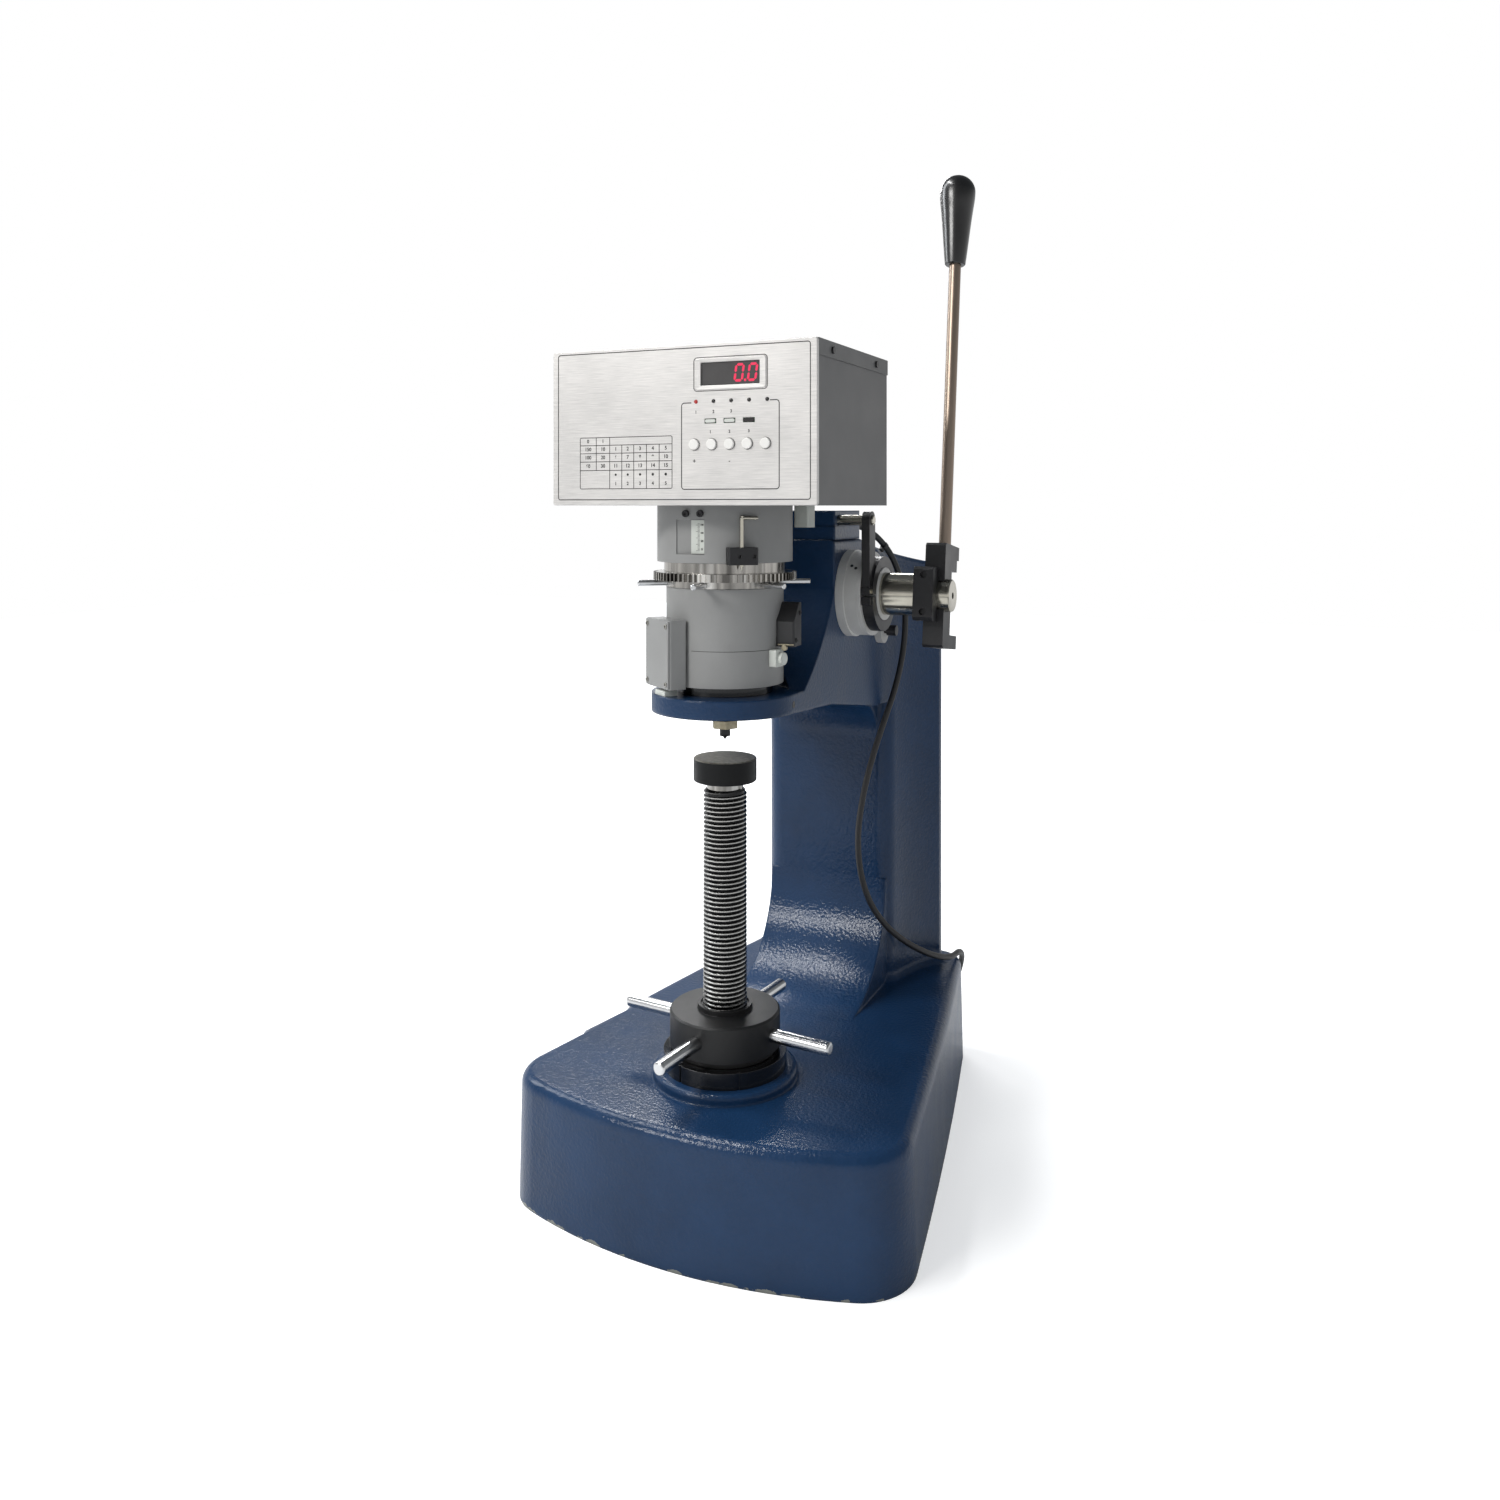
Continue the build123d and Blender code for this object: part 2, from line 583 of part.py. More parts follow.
def thrust_bearing():
    """Upper race, ball ring and lower race, joined as one bearing, in the cover's recess."""
    races = cyl_z(NECK_R - 1, BOSS_Z + 6, COVER_Z - GAP) - cyl_z(SCREW_R + 4, BOSS_Z + 6, COVER_Z)
    groove = Pos(0, 0, (BOSS_Z + 6 + COVER_Z) / 2) * Torus(NECK_R - 1, 1.6)
    return races - groove


nodes["bearing_cover"] = bearing_cover()
nodes["thrust_bearing"] = thrust_bearing()
nodes["capstan_nut"] = capstan_nut()
nodes["capstan_bars"] = group(about_z(capstan_bar(), BAR_FIRST_DEG + 360 / BAR_COUNT * k) for k in range(BAR_COUNT))
nodes["elevating_screw"] = elevating_screw()
nodes["anvil"] = anvil()
nodes["screw_guide_key"] = block(-KEY_W / 2 + SLIP, KEY_W / 2 - SLIP, SCREW_R - 2.2, SCREW_R + KEY_H,
                                 KEY_FOOT, BOSS_Z - 0.5)


# ---- head: housings, force ring and what is fixed to them -----------------------------
def beam_window(z_low, z_high):
    half = BEAM_T / 2 + 2.5
    return block(-half, half, 0, HEAD_R + 10, z_low, z_high)


def tube(r_out, r_in, z0, z1):
    return cyl_z(r_out, z0, z1) - cyl_z(r_in, z0 - 1, z1 + 1)


def lower_band():
    body = tube(HEAD_R, CORE_R + SLIP, HEAD_Z, PARTING_Z)
    return body - beam_window(GROOVE_Z - 24, PARTING_Z + 1) - sensor_pocket()


def lower_housing():
    body = tube(HEAD_R, CORE_R + SLIP, PARTING_Z, RING_Z)
    return body - beam_window(PARTING_Z - 1, GROOVE_Z + 12) - sensor_pocket()


def core_tube():
    """Tube that carries the housings, its narrower foot on the arm's flange and a spring seat."""
    body = tube(HEAD_COLLAR_R, CORE_BORE, FLANGE_TOP, HEAD_Z)
    body = body + tube(CORE_R, CORE_BORE, HEAD_Z, BOX_Z - 8)
    body = body + tube(CORE_R - 1, SPINDLE_R + 1.0, SEAT_Z, SEAT_Z + SEAT_T)
    return body - beam_window(GROOVE_Z - 24, GROOVE_Z + 12)


def force_ring():
    """Setting ring with a toothed flange between two polished bands."""
    low = RING_Z + GAP
    body = cyl_z(HEAD_R, low, TOOTH_Z + 1) + cyl_z(TOOTH_R, TOOTH_Z, TOOTH_TOP)
    body = body + cyl_z(RING_UP_R, TOOTH_TOP - 1, RING_TOP)
    body = body - cyl_z(CORE_R + FIT, low - 1, RING_TOP + 1)
    pitch = 2 * math.pi * TOOTH_R / TOOTH_COUNT
    notch = block(TOOTH_R - TOOTH_DEPTH, TOOTH_R + 1, -pitch / 3.2, pitch / 3.2, TOOTH_Z - 1, TOOTH_TOP + 1)
    step = 360 / TOOTH_COUNT
    first = DETENT_DEG
    notches = [about_z(notch, first + step * k) for k in range(TOOTH_COUNT)]
    body = body - notches
    for k in range(PIN_COUNT):
        hole = cyl_x(PIN_R + SLIP, PIN_ROOT_R, HEAD_R + 1, 0, low + RING_LOW_H / 2)
        body = body - about_z(hole, PIN_FIRST_DEG + 360 / PIN_COUNT * k)
    return body


def ring_pin():
    z = RING_Z + GAP + RING_LOW_H / 2
    pin = cyl_x(PIN_R, PIN_ROOT_R, PIN_TIP_R, 0, z)
    tip = pin.edges().filter_by(GeomType.CIRCLE).sort_by(Axis.X)[-1]
    return chamfer(tip, 0.8)


def upper_housing():
    body = tube(UPPER_R, CORE_R + SLIP, UPPER_Z, BOX_Z)
    body = body + cyl_z(CORE_R + 2, BOX_Z - 8, BOX_Z)
    recess = block(-RECESS_W / 2 - 5, RECESS_W / 2 - 5, -UPPER_R - 1, RECESS_Y, RECESS_Z, RECESS_Z + RECESS_H)
    body = body - recess
    for x in cap_screw_xs():
        body = body - cyl_y(CAP_SCREW_R / 2 + SLIP, -UPPER_R - 2, -CORE_R - 3, x, CAP_SCREW_Z)
        body = body - cyl_y(CAP_SCREW_R + SLIP, -UPPER_R - 2, -UPPER_R + 0.8, x, CAP_SCREW_Z)
    flat = about_z(block(UPPER_R - 1.5, UPPER_R + 1, -DETENT_W / 2, DETENT_W / 2, DETENT_Z, DETENT_Z + DETENT_H), DETENT_DEG)
    return body - flat


def cap_screw_xs():
    return (-8.2, 5.6)


def cap_screw(x):
    head = cyl_y(CAP_SCREW_R, -UPPER_R - 2.2, -UPPER_R + 0.8, x, CAP_SCREW_Z)
    shank = cyl_y(CAP_SCREW_R / 2, -UPPER_R, -CORE_R - 3.5, x, CAP_SCREW_Z)
    socket = cyl_y(CAP_SCREW_R / 2, -UPPER_R - 3, -UPPER_R - 1, x, CAP_SCREW_Z)
    return head + shank - socket


def detent_block():
    inner = UPPER_R - 1.5
    body = block(inner, DETENT_OUT, -DETENT_W / 2, DETENT_W / 2, DETENT_Z, DETENT_Z + DETENT_H)
    outer = body.edges().filter_by(Axis.Z).group_by(Axis.X)[-1]
    body = chamfer(outer, 1.2)
    body = body - cyl_z(PLUNGER_R + FIT, DETENT_Z - 1, DETENT_Z + DETENT_H + 1, PLUNGER_AXIS_R)
    for y in (-DETENT_W / 4, DETENT_W / 4):
        body = body - cyl_x(1.6, DETENT_OUT - 2.5, DETENT_OUT + 1, y + 3.0, DETENT_Z + DETENT_H / 2)
    return about_z(body, DETENT_DEG)


def detent_plunger():
    """Bent rod that drops between two teeth of the force ring."""
    tip_z = TOOTH_TOP + 3.6
    rod = cyl_z(PLUNGER_R, tip_z + 3, PLUNGER_TOP, PLUNGER_AXIS_R)
    cone = Pos(PLUNGER_AXIS_R, 0, tip_z + 1.5) * Cone(0.5, 1.25, 3)
    handle = cyl_y(PLUNGER_R, -PLUNGER_R, PLUNGER_HANDLE, PLUNGER_AXIS_R, PLUNGER_TOP - PLUNGER_R)
    return about_z(rod + cone + handle, DETENT_DEG)


def sensor_pocket():
    """Flat seat and opening that the sensor's case stands in, on the housing's side."""
    body = block(SENSOR_IN + 14, SENSOR_OUT + 5, -SENSOR_W / 2 - GAP, SENSOR_W / 2 + GAP, SENSOR_Z, SENSOR_Z + SENSOR_H)
    return about_z(body, SENSOR_DEG)


def sensor_cover():
    inner = SENSOR_IN + 14 + GAP
    body = block(inner, SENSOR_OUT, -SENSOR_W / 2, SENSOR_W / 2, SENSOR_Z + GAP, SENSOR_Z + SENSOR_H)
    body = fillet(body.edges().filter_by(Axis.Z).group_by(Axis.X)[-1], 2.0)
    body = body - block(inner - 1, SENSOR_OUT - 2, -SENSOR_W / 2 + 2, SENSOR_W / 2 - 2, SENSOR_Z - 1, SENSOR_Z + SENSOR_H - 2)
    body = body - cyl_z(CORE_R + SLIP, SENSOR_Z - 1, SENSOR_Z + SENSOR_H + 1)
    return about_z(body, SENSOR_DEG)


def displacement_sensor():
    radius = SENSOR_IN + 22
    barrel = cyl_z(5.0, SENSOR_Z + 8, SENSOR_Z + SENSOR_H - 2, radius)
    stem = cyl_z(2.0, FLANGE_TOP + 4, SENSOR_Z + 9, radius)
    foot = block(radius - 6, radius + 6, -10, 10, FLANGE_TOP, FLANGE_TOP + 4.5)
    return about_z(barrel + stem + foot, SENSOR_DEG)


def limit_switch():
    outline = Polyline((-10, 0), (12, 0), (12, 38), (4, 38), (-10, 22), close=True)
    face = make_face(Plane.YZ * outline)
    body = extrude(face, amount=17.0, dir=(1, 0, 0))
    body = chamfer(body.edges().filter_by(Axis.Z), 1.5)
    body = Pos(HEAD_R - 1, 0, PARTING_Z + 2) * body - cyl_z(HEAD_R, PARTING_Z, RING_Z)
    return about_z(body, SWITCH_DEG)


def switch_striker():
    body = block(HEAD_R - 3, HEAD_R + 6, -9, 4, PARTING_Z - 15, PARTING_Z)
    body = fillet(body.edges().filter_by(Axis.X), 1.5)
    knob = cyl_x(5.5, HEAD_R + 5, HEAD_R + 10, -1, PARTING_Z - 8)
    return about_z(body + knob - cyl_z(HEAD_R, HEAD_Z, RING_Z), SWITCH_DEG - 12)


def scale_plate():
    return block(-4.6, -4.6 + SCALE_W, RECESS_Y - SCALE_T, RECESS_Y, RECESS_Z + 0.5, RECESS_Z + 0.5 + SCALE_H)


def connector_block():
    return fillet(block(50.5, 64.5, 40, 58, BOX_Z - 20, BOX_Z).edges().filter_by(Axis.Z), 1.5)


nodes["lower_housing_band"] = lower_band()
nodes["lower_housing"] = lower_housing()
nodes["core_tube"] = core_tube()
nodes["force_ring"] = force_ring()
nodes["ring_pins"] = group(about_z(ring_pin(), PIN_FIRST_DEG + 360 / PIN_COUNT * k) for k in range(PIN_COUNT))
nodes["upper_housing"] = upper_housing()
nodes["scale_plate"] = scale_plate()
nodes["head_cap_screws"] = group(cap_screw(x) for x in cap_screw_xs())
nodes["detent_block"] = detent_block()
nodes["detent_plunger"] = detent_plunger()
nodes["sensor_cover"] = sensor_cover()
nodes["displacement_sensor"] = displacement_sensor()
nodes["limit_switch"] = group([limit_switch(), switch_striker()])
nodes["connector_block"] = connector_block()


# ---- spindle, indenter and load spring ------------------------------------------------
def groove_edges():
    half = NOSE_H / 2 + 0.4
    return GROOVE_Z - half, GROOVE_Z + half


def spindle():
    """Spindle with the shoulder that the load spring presses on and the return spring's head."""
    body = cyl_z(SPINDLE_R, NUT_TOP, SPINDLE_TOP)
    body = body + cyl_z(GROOVE_R, SHOULDER_Z, SHOULDER_Z + SHOULDER_T)
    return body + cyl_z(GROOVE_R, SPINDLE_TOP - GROOVE_WALL, SPINDLE_TOP)


def pressure_sleeve():
    """Sleeve on the spindle that the beam's nose presses; it loads the spindle by the spring."""
    low, high = groove_edges()
    body = cyl_z(SPINDLE_R + 2.2, low - 1, high + 1)
    body = body + cyl_z(GROOVE_R, low - GROOVE_WALL, low) + cyl_z(GROOVE_R, high, high + GROOVE_WALL)
    return body - cyl_z(SPINDLE_R + SLIP, low - GROOVE_WALL - 1, high + GROOVE_WALL + 1)


def coil_spring(wire, radius, turns, z0, z1):
    low = z0 + wire / 2 + 0.1
    high = z1 - wire / 2 - 0.1
    path = Pos(0, 0, low) * Helix((high - low) / turns, high - low, radius)
    section = Plane(path @ 0, z_dir=path % 0) * Circle(wire / 2)
    return sweep(section, path, is_frenet=True)


def spindle_nut():
    hexagon = RegularPolygon(NUT_ACROSS / 2, 6, major_radius=False)
    body = Pos(0, 0, HOLDER_TOP) * extrude(hexagon, amount=NUT_H)
    return body & cyl_z(NUT_ACROSS * 0.56, HOLDER_TOP, NUT_TOP)


def indenter():
    """Holder with its diamond cone."""
    body = cyl_z(HOLDER_R, TIP_Z + 3.2, HOLDER_TOP)
    body = body + Pos(0, 0, TIP_Z + 1.7) * Cone(0.3, 2.6, 3.4)
    flat = block(-HOLDER_R, HOLDER_R, -HOLDER_R - 1, -HOLDER_R + 1.0, TIP_Z + 4, TIP_Z + 8)
    return body - about_z(flat, 25)


nodes["spindle"] = spindle()
nodes["spindle_nut"] = spindle_nut()
nodes["indenter"] = indenter()
nodes["pressure_sleeve"] = pressure_sleeve()
nodes["load_spring"] = coil_spring(LOAD_WIRE, SPRING_R, LOAD_TURNS, SHOULDER_Z + SHOULDER_T, groove_edges()[0] - GROOVE_WALL)
nodes["return_spring"] = coil_spring(RETURN_WIRE, SPRING_R, RETURN_TURNS, SEAT_Z + SEAT_T, SPINDLE_TOP - GROOVE_WALL)
spindle_bush = tube(SPINDLE_R + 8 - SLIP, SPINDLE_R + FIT, FLANGE_Z, FLANGE_TOP)


# ---- loading beam, lever shaft and return spring --------------------------------------
def load_beam():
    """Beam that the cam presses down: pivoted at the rear, its nose in the spindle's groove."""
    half = NOSE_H / 2
    pad = SHAFT_Z + CAM_THROW - CAM_R - GAP
    outline = Polyline(
        (SPINDLE_R + 2.8, GROOVE_Z - half),
        (SPINDLE_R + 2.8, GROOVE_Z + half),
        (72, GROOVE_Z + half),
        (118, pad),
        (SHAFT_Y + 24, pad),
        (PIVOT_Y, GROOVE_Z + 13),
        (PIVOT_Y + 13, GROOVE_Z),
        (PIVOT_Y, GROOVE_Z - 13),
        (SHAFT_Y, GROOVE_Z - 16),
        (72, GROOVE_Z - half),
        close=True,
    )
    body = side_plate(outline, -BEAM_T / 2, BEAM_T / 2)
    return body - cyl_x(PIVOT_R + FIT, -BEAM_T, BEAM_T, PIVOT_Y, GROOVE_Z)


def drive_shaft():
    """Lever shaft: journals in the arm, eccentric cam, polished outer part and stub."""
    body = cyl_x(JOURNAL_R, SHAFT_LEFT, ARM_HALF + 2, SHAFT_Y, SHAFT_Z)
    body = body + cyl_x(CAM_R, -CAM_T / 2, CAM_T / 2, SHAFT_Y, SHAFT_Z + CAM_THROW)
    body = body + cyl_x(SHAFT_R, ARM_HALF + GAP, HUB_BLOCK_X - GAP, SHAFT_Y, SHAFT_Z)
    stub = cyl_x(STUB_R, HUB_BLOCK_X - 2, STUB_END, SHAFT_Y, SHAFT_Z)
    stub = chamfer(stub.edges().filter_by(GeomType.CIRCLE).sort_by(Axis.X)[-1], 1.0)
    return body + stub - cyl_x(3.2, STUB_END - 8, STUB_END + 1, SHAFT_Y, SHAFT_Z)


def shaft_bush(x0):
    body = cyl_x(BUSH_R, x0, x0 + BUSH_LEN, SHAFT_Y, SHAFT_Z)
    return body - cyl_x(JOURNAL_R + FIT, x0 - 1, x0 + BUSH_LEN + 1, SHAFT_Y, SHAFT_Z)


def spring_drum():
    body = cyl_x(DRUM_R, ARM_HALF, ARM_HALF + DRUM_STEP, SHAFT_Y, SHAFT_Z)
    body = body + cyl_x(DRUM_FACE_R, ARM_HALF + DRUM_STEP - 1, DRUM_END, SHAFT_Y, SHAFT_Z)
    body = body - cyl_x(DRUM_FACE_R - DRUM_WALL, ARM_HALF + DRUM_WALL, DRUM_END + 1, SHAFT_Y, SHAFT_Z)
    return body - cyl_x(SHAFT_R + GAP, ARM_HALF - 1, DRUM_END, SHAFT_Y, SHAFT_Z)


def drum_cover():
    body = cyl_x(DRUM_FACE_R, DRUM_END, DRUM_END + DRUM_LIP, SHAFT_Y, SHAFT_Z)
    body = body + cyl_x(DRUM_NECK_R, DRUM_END + DRUM_LIP - 1, DRUM_NECK_END, SHAFT_Y, SHAFT_Z)
    return body - cyl_x(SHAFT_R + FIT, DRUM_END - 1, DRUM_NECK_END + 1, SHAFT_Y, SHAFT_Z)


def clock_spring():
    """Spiral strip in the drum, of half turns whose radius grows by half a pitch."""
    inner = SHAFT_R + 2.0
    outer = DRUM_FACE_R - DRUM_WALL - 1.0
    turns = 3
    pitch = (outer - inner) / turns
    arcs = []
    left = -inner
    side = 1
    for k in range(2 * turns - 1):
        radius = inner + pitch * (k + 0.5) / 2
        start = (left, 0)
        end = (left + side * 2 * radius, 0)
        top = (left + side * radius, side * radius)
        arcs.append(ThreePointArc(start, top, end))
        left = end[0]
        side = -side
    strip = trace(Curve() + arcs, line_width=1.0)
    band = extrude(Plane.YZ * strip, amount=DRUM_END - ARM_HALF - DRUM_WALL - 2, dir=(1, 0, 0))
    x0 = ARM_HALF + DRUM_WALL + 1
    hook = block(x0, DRUM_END - 1, left - 0.5, DRUM_FACE_R - DRUM_WALL - SLIP, -1.5, 1.5)
    return Pos(x0, SHAFT_Y, SHAFT_Z) * band + Pos(0, SHAFT_Y, SHAFT_Z) * hook


def anchor_ring():
    """Split clamp ring on the drum's neck, with an arm up to the anchor pin."""
    x0 = DRUM_END + DRUM_LIP
    x1 = x0 + ANCHOR_T
    body = cyl_x(ANCHOR_R, x0, x1, SHAFT_Y, SHAFT_Z)
    arm = block(x0 + 1, x1 - 2, ANCHOR_ARM_Y - ANCHOR_ARM_W / 2, ANCHOR_ARM_Y + ANCHOR_ARM_W / 2, SHAFT_Z, ANCHOR_PIN_Z)
    eye = cyl_x(ANCHOR_ARM_W / 2, x0 + 1, x1 - 2, ANCHOR_ARM_Y, ANCHOR_PIN_Z)
    lug = block(x0 + 1, x1 - 1, SHAFT_Y - ANCHOR_R - 4, SHAFT_Y - ANCHOR_R + 12, SHAFT_Z - 9, SHAFT_Z + 9)
    body = body + arm + eye + fillet(lug.edges().filter_by(Axis.X), 2.0)
    body = body - cyl_x(DRUM_NECK_R + SLIP, x0 - 1, x1 + 1, SHAFT_Y, SHAFT_Z)
    body = body - block(x0 - 1, x1 + 1, SHAFT_Y - ANCHOR_R - 6, SHAFT_Y - DRUM_NECK_R + 2, SHAFT_Z - 1, SHAFT_Z + 1)
    return body - cyl_x(ANCHOR_PIN_R + SLIP, x0 - 1, x1 + 1, ANCHOR_ARM_Y, ANCHOR_PIN_Z)


def anchor_pin():
    pin = cyl_x(ANCHOR_PIN_R, ARM_HALF - 20, DRUM_END + DRUM_LIP + ANCHOR_T, ANCHOR_ARM_Y, ANCHOR_PIN_Z)
    return chamfer(pin.edges().filter_by(GeomType.CIRCLE), 1.0)


def side_stop_screw():
    """Pale plug in the casting's side and the black thumb screw through it."""
    y = SIDE_STOP_Y
    z = GROOVE_Z - SIDE_STOP_DROP
    x0 = ARM_HALF - 6
    x1 = ARM_HALF + 7
    plug = cyl_x(SIDE_STOP_R, x0, x1, y, z)
    screw = cyl_x(3.5, x1, x1 + 3, y, z) + cyl_x(5.5, x1 + 3, x1 + 13, y, z)
    return plug, screw, cyl_x(SIDE_STOP_R + SLIP, x0, x1 + 17, y, z)


nodes["load_beam"] = load_beam()
nodes["drive_shaft"] = drive_shaft()
nodes["plain_bushes"] = group([spindle_bush, shaft_bush(SHAFT_LEFT), shaft_bush(ARM_HALF - BUSH_LEN)])
nodes["spring_drum"] = spring_drum()
nodes["drum_cover"] = drum_cover()
nodes["return_clock_spring"] = clock_spring()
nodes["anchor_ring"] = anchor_ring()
beam_pin = cyl_x(PIVOT_R, -CHANNEL_HALF - 18, CHANNEL_HALF + 18, PIVOT_Y, GROOVE_Z)
nodes["pivot_pins"] = group([beam_pin, anchor_pin()])
side_plug, side_screw, side_hole = side_stop_screw()
nodes["side_stop_screw"] = group([side_plug, side_screw])
nodes["base_column_casting"] = nodes["base_column_casting"] - side_hole


# ---- lever ----------------------------------------------------------------------------
def leaned(shape):
    """Turn a piece of the lever, drawn upright about the shaft, to its rest position."""
    return Pos(0, SHAFT_Y, SHAFT_Z) * Rot(-LEVER_LEAN, 0, 0) * shape


def lever_bracket():
    outline = Polyline(
        (SPINE_FRONT, -BRACKET_HALF),
        (TAB_REAR, -BRACKET_HALF),
        (TAB_REAR, -BRACKET_HALF + TAB_T),
        (SPINE_REAR, -BRACKET_HALF + TAB_T),
        (SPINE_REAR, BRACKET_HALF - TAB_T),
        (TAB_REAR, BRACKET_HALF - TAB_T),
        (TAB_REAR, BRACKET_HALF),
        (SPINE_FRONT, BRACKET_HALF),
        close=True,
    )
    body = side_plate(outline, BRACKET_X, BRACKET_X + BRACKET_T)
    body = body + block(BRACKET_X, BRACKET_X + BRACKET_T, SPINE_REAR - 1, ROD_Y + ROD_R + 5,
                        BRACKET_HALF - 25, BRACKET_HALF - TAB_T)
    body = chamfer(body.edges().filter_by(Axis.X).group_by(Axis.Y)[0], 2.5)
    body = body - cyl_x(STUB_R + SLIP, BRACKET_X - 1, BRACKET_X + BRACKET_T + 1, 0, 0)
    return leaned(body - cyl_z(ROD_R + SLIP, ROD_FOOT, BRACKET_HALF + 1, rod_x(), ROD_Y))


def rod_x():
    return BRACKET_X + BRACKET_T / 2


def hub_block():
    half = HUB_BLOCK_H / 2
    body = block(HUB_BLOCK_X, HUB_BLOCK_X + HUB_BLOCK_T, SPINE_FRONT - HUB_BLOCK_DEPTH, SPINE_FRONT, -half, half)
    body = chamfer(body.edges().filter_by(Axis.X).group_by(Axis.Y)[0], 3.0)
    for z in (-half + 8, half - 8):
        body = body - cyl_y(3.2, SPINE_FRONT - HUB_BLOCK_DEPTH - 1, SPINE_FRONT - HUB_BLOCK_DEPTH + 4,
                            HUB_BLOCK_X + HUB_BLOCK_T / 2, z)
    return leaned(body - cyl_x(STUB_R + SLIP, HUB_BLOCK_X - 1, HUB_BLOCK_X + HUB_BLOCK_T + 1, 0, 0))


def lever_knob():
    """Tapered handle with a domed top."""
    top = KNOB_Z + KNOB_LEN
    widest = top - KNOB_R
    outline = Curve() + [
        Line((ROD_R + SLIP, KNOB_Z), (KNOB_FOOT_R - 1, KNOB_Z)),
        Line((KNOB_FOOT_R - 1, KNOB_Z), (KNOB_FOOT_R, KNOB_Z + 1)),
        Spline((KNOB_FOOT_R, KNOB_Z + 1), (KNOB_R - 1.6, widest - 18), (KNOB_R, widest),
               tangents=((0.12, 1), (0, 1))),
        ThreePointArc((KNOB_R, widest), (KNOB_R * math.sqrt(0.5), widest + KNOB_R * math.sqrt(0.5)), (0, top)),
        Line((0, top), (0, KNOB_Z + 30)),
        Line((0, KNOB_Z + 30), (ROD_R + SLIP, KNOB_Z + 30)),
        Line((ROD_R + SLIP, KNOB_Z + 30), (ROD_R + SLIP, KNOB_Z)),
    ]
    body = revolve(make_face(Plane.XZ * outline), Axis.Z)
    return leaned(Pos(rod_x(), ROD_Y, 0) * body)


nodes["lever_bracket"] = lever_bracket()
nodes["hub_block"] = hub_block()
nodes["lever_rod"] = leaned(cyl_z(ROD_R, ROD_FOOT + 0.5, KNOB_Z + 29, rod_x(), ROD_Y))
nodes["lever_knob"] = lever_knob()


# ---- display box ----------------------------------------------------------------------
def row_xs():
    return [BUTTON_X + BUTTON_STEP * k for k in range(ROW_COUNT)]


def oblong(x, y0, y1, grow=0.0):
    return block(x - OBLONG_W / 2 - grow, x + OBLONG_W / 2 + grow, y0, y1,
                 BOX_Z + OBLONG_Z - OBLONG_H / 2 - grow, BOX_Z + OBLONG_Z + OBLONG_H / 2 + grow)


def window(y0, y1, grow=0.0):
    return block(WINDOW_X - WINDOW_W / 2 - grow, WINDOW_X + WINDOW_W / 2 + grow, y0, y1,
                 BOX_Z + WINDOW_Z - WINDOW_H / 2 - grow, BOX_Z + WINDOW_Z + WINDOW_H / 2 + grow)


def front_panel():
    back = BOX_FRONT + PANEL_T
    body = block(-BOX_HALF, BOX_HALF, BOX_FRONT, back, BOX_Z, BOX_Z + BOX_H)
    body = fillet(body.edges().filter_by(Axis.Y), 2.0)
    body = chamfer(body.faces().sort_by(Axis.Y)[0].edges(), 0.6)
    body = body - window(BOX_FRONT - 1, back + 1)
    for x in row_xs():
        body = body - cyl_y(BUTTON_R + 0.15, BOX_FRONT - 1, back + 1, x, BOX_Z + BUTTON_Z)
        body = body - cyl_y(LAMP_R + SLIP, BOX_FRONT - 1, back + 1, x + 1.5, BOX_Z + LAMP_Z)
    for k in range(OBLONG_COUNT):
        body = body - oblong(OBLONG_X + OBLONG_STEP * k, BOX_FRONT - 1, back + 1, SLIP)
    return body


def lamps():
    """Round signal lamps and the oblong ones under them, seated on the board."""
    pieces = []
    for x in row_xs():
        pieces.append(cyl_y(LAMP_R, BOX_FRONT - 0.4, BOARD_Y, x + 1.5, BOX_Z + LAMP_Z))
    for k in range(OBLONG_COUNT):
        pieces.append(oblong(OBLONG_X + OBLONG_STEP * k, BOX_FRONT + 0.4, BOARD_Y))
    return pieces


def display_board():
    body = block(BOARD_LEFT, BOARD_RIGHT, BOARD_Y, BOARD_Y + 1.6, BOX_Z + BOARD_LOW, BOX_Z + BOARD_HIGH)
    module = window(BOX_FRONT + PANEL_T + 2.2, BOARD_Y, -1.0)
    xs = (BOARD_LEFT + 6, BOARD_RIGHT - 6)
    zs = (BOX_Z + BOARD_LOW + 5, BOX_Z + BOARD_HIGH - 5)
    posts = [cyl_y(2.5, BOX_FRONT + PANEL_T, BOARD_Y, x, z) for x in xs for z in zs]
    switches = [cyl_y(3.0, BOARD_Y - 1.4, BOARD_Y, x, BOX_Z + BUTTON_Z) for x in row_xs()]
    return body + module + posts + switches + lamps()


def push_button(x):
    back = BOX_FRONT + PANEL_T
    stem = cyl_y(BUTTON_R, BOX_FRONT - BUTTON_PROUD, BOARD_Y - 1.4 - 1.3, x, BOX_Z + BUTTON_Z)
    face = stem.edges().filter_by(GeomType.CIRCLE).sort_by(Axis.Y)[0]
    stem = fillet(face, 0.8)
    return stem + cyl_y(BUTTON_R + 1.2, back + 0.1, back + 1.2, x, BOX_Z + BUTTON_Z)


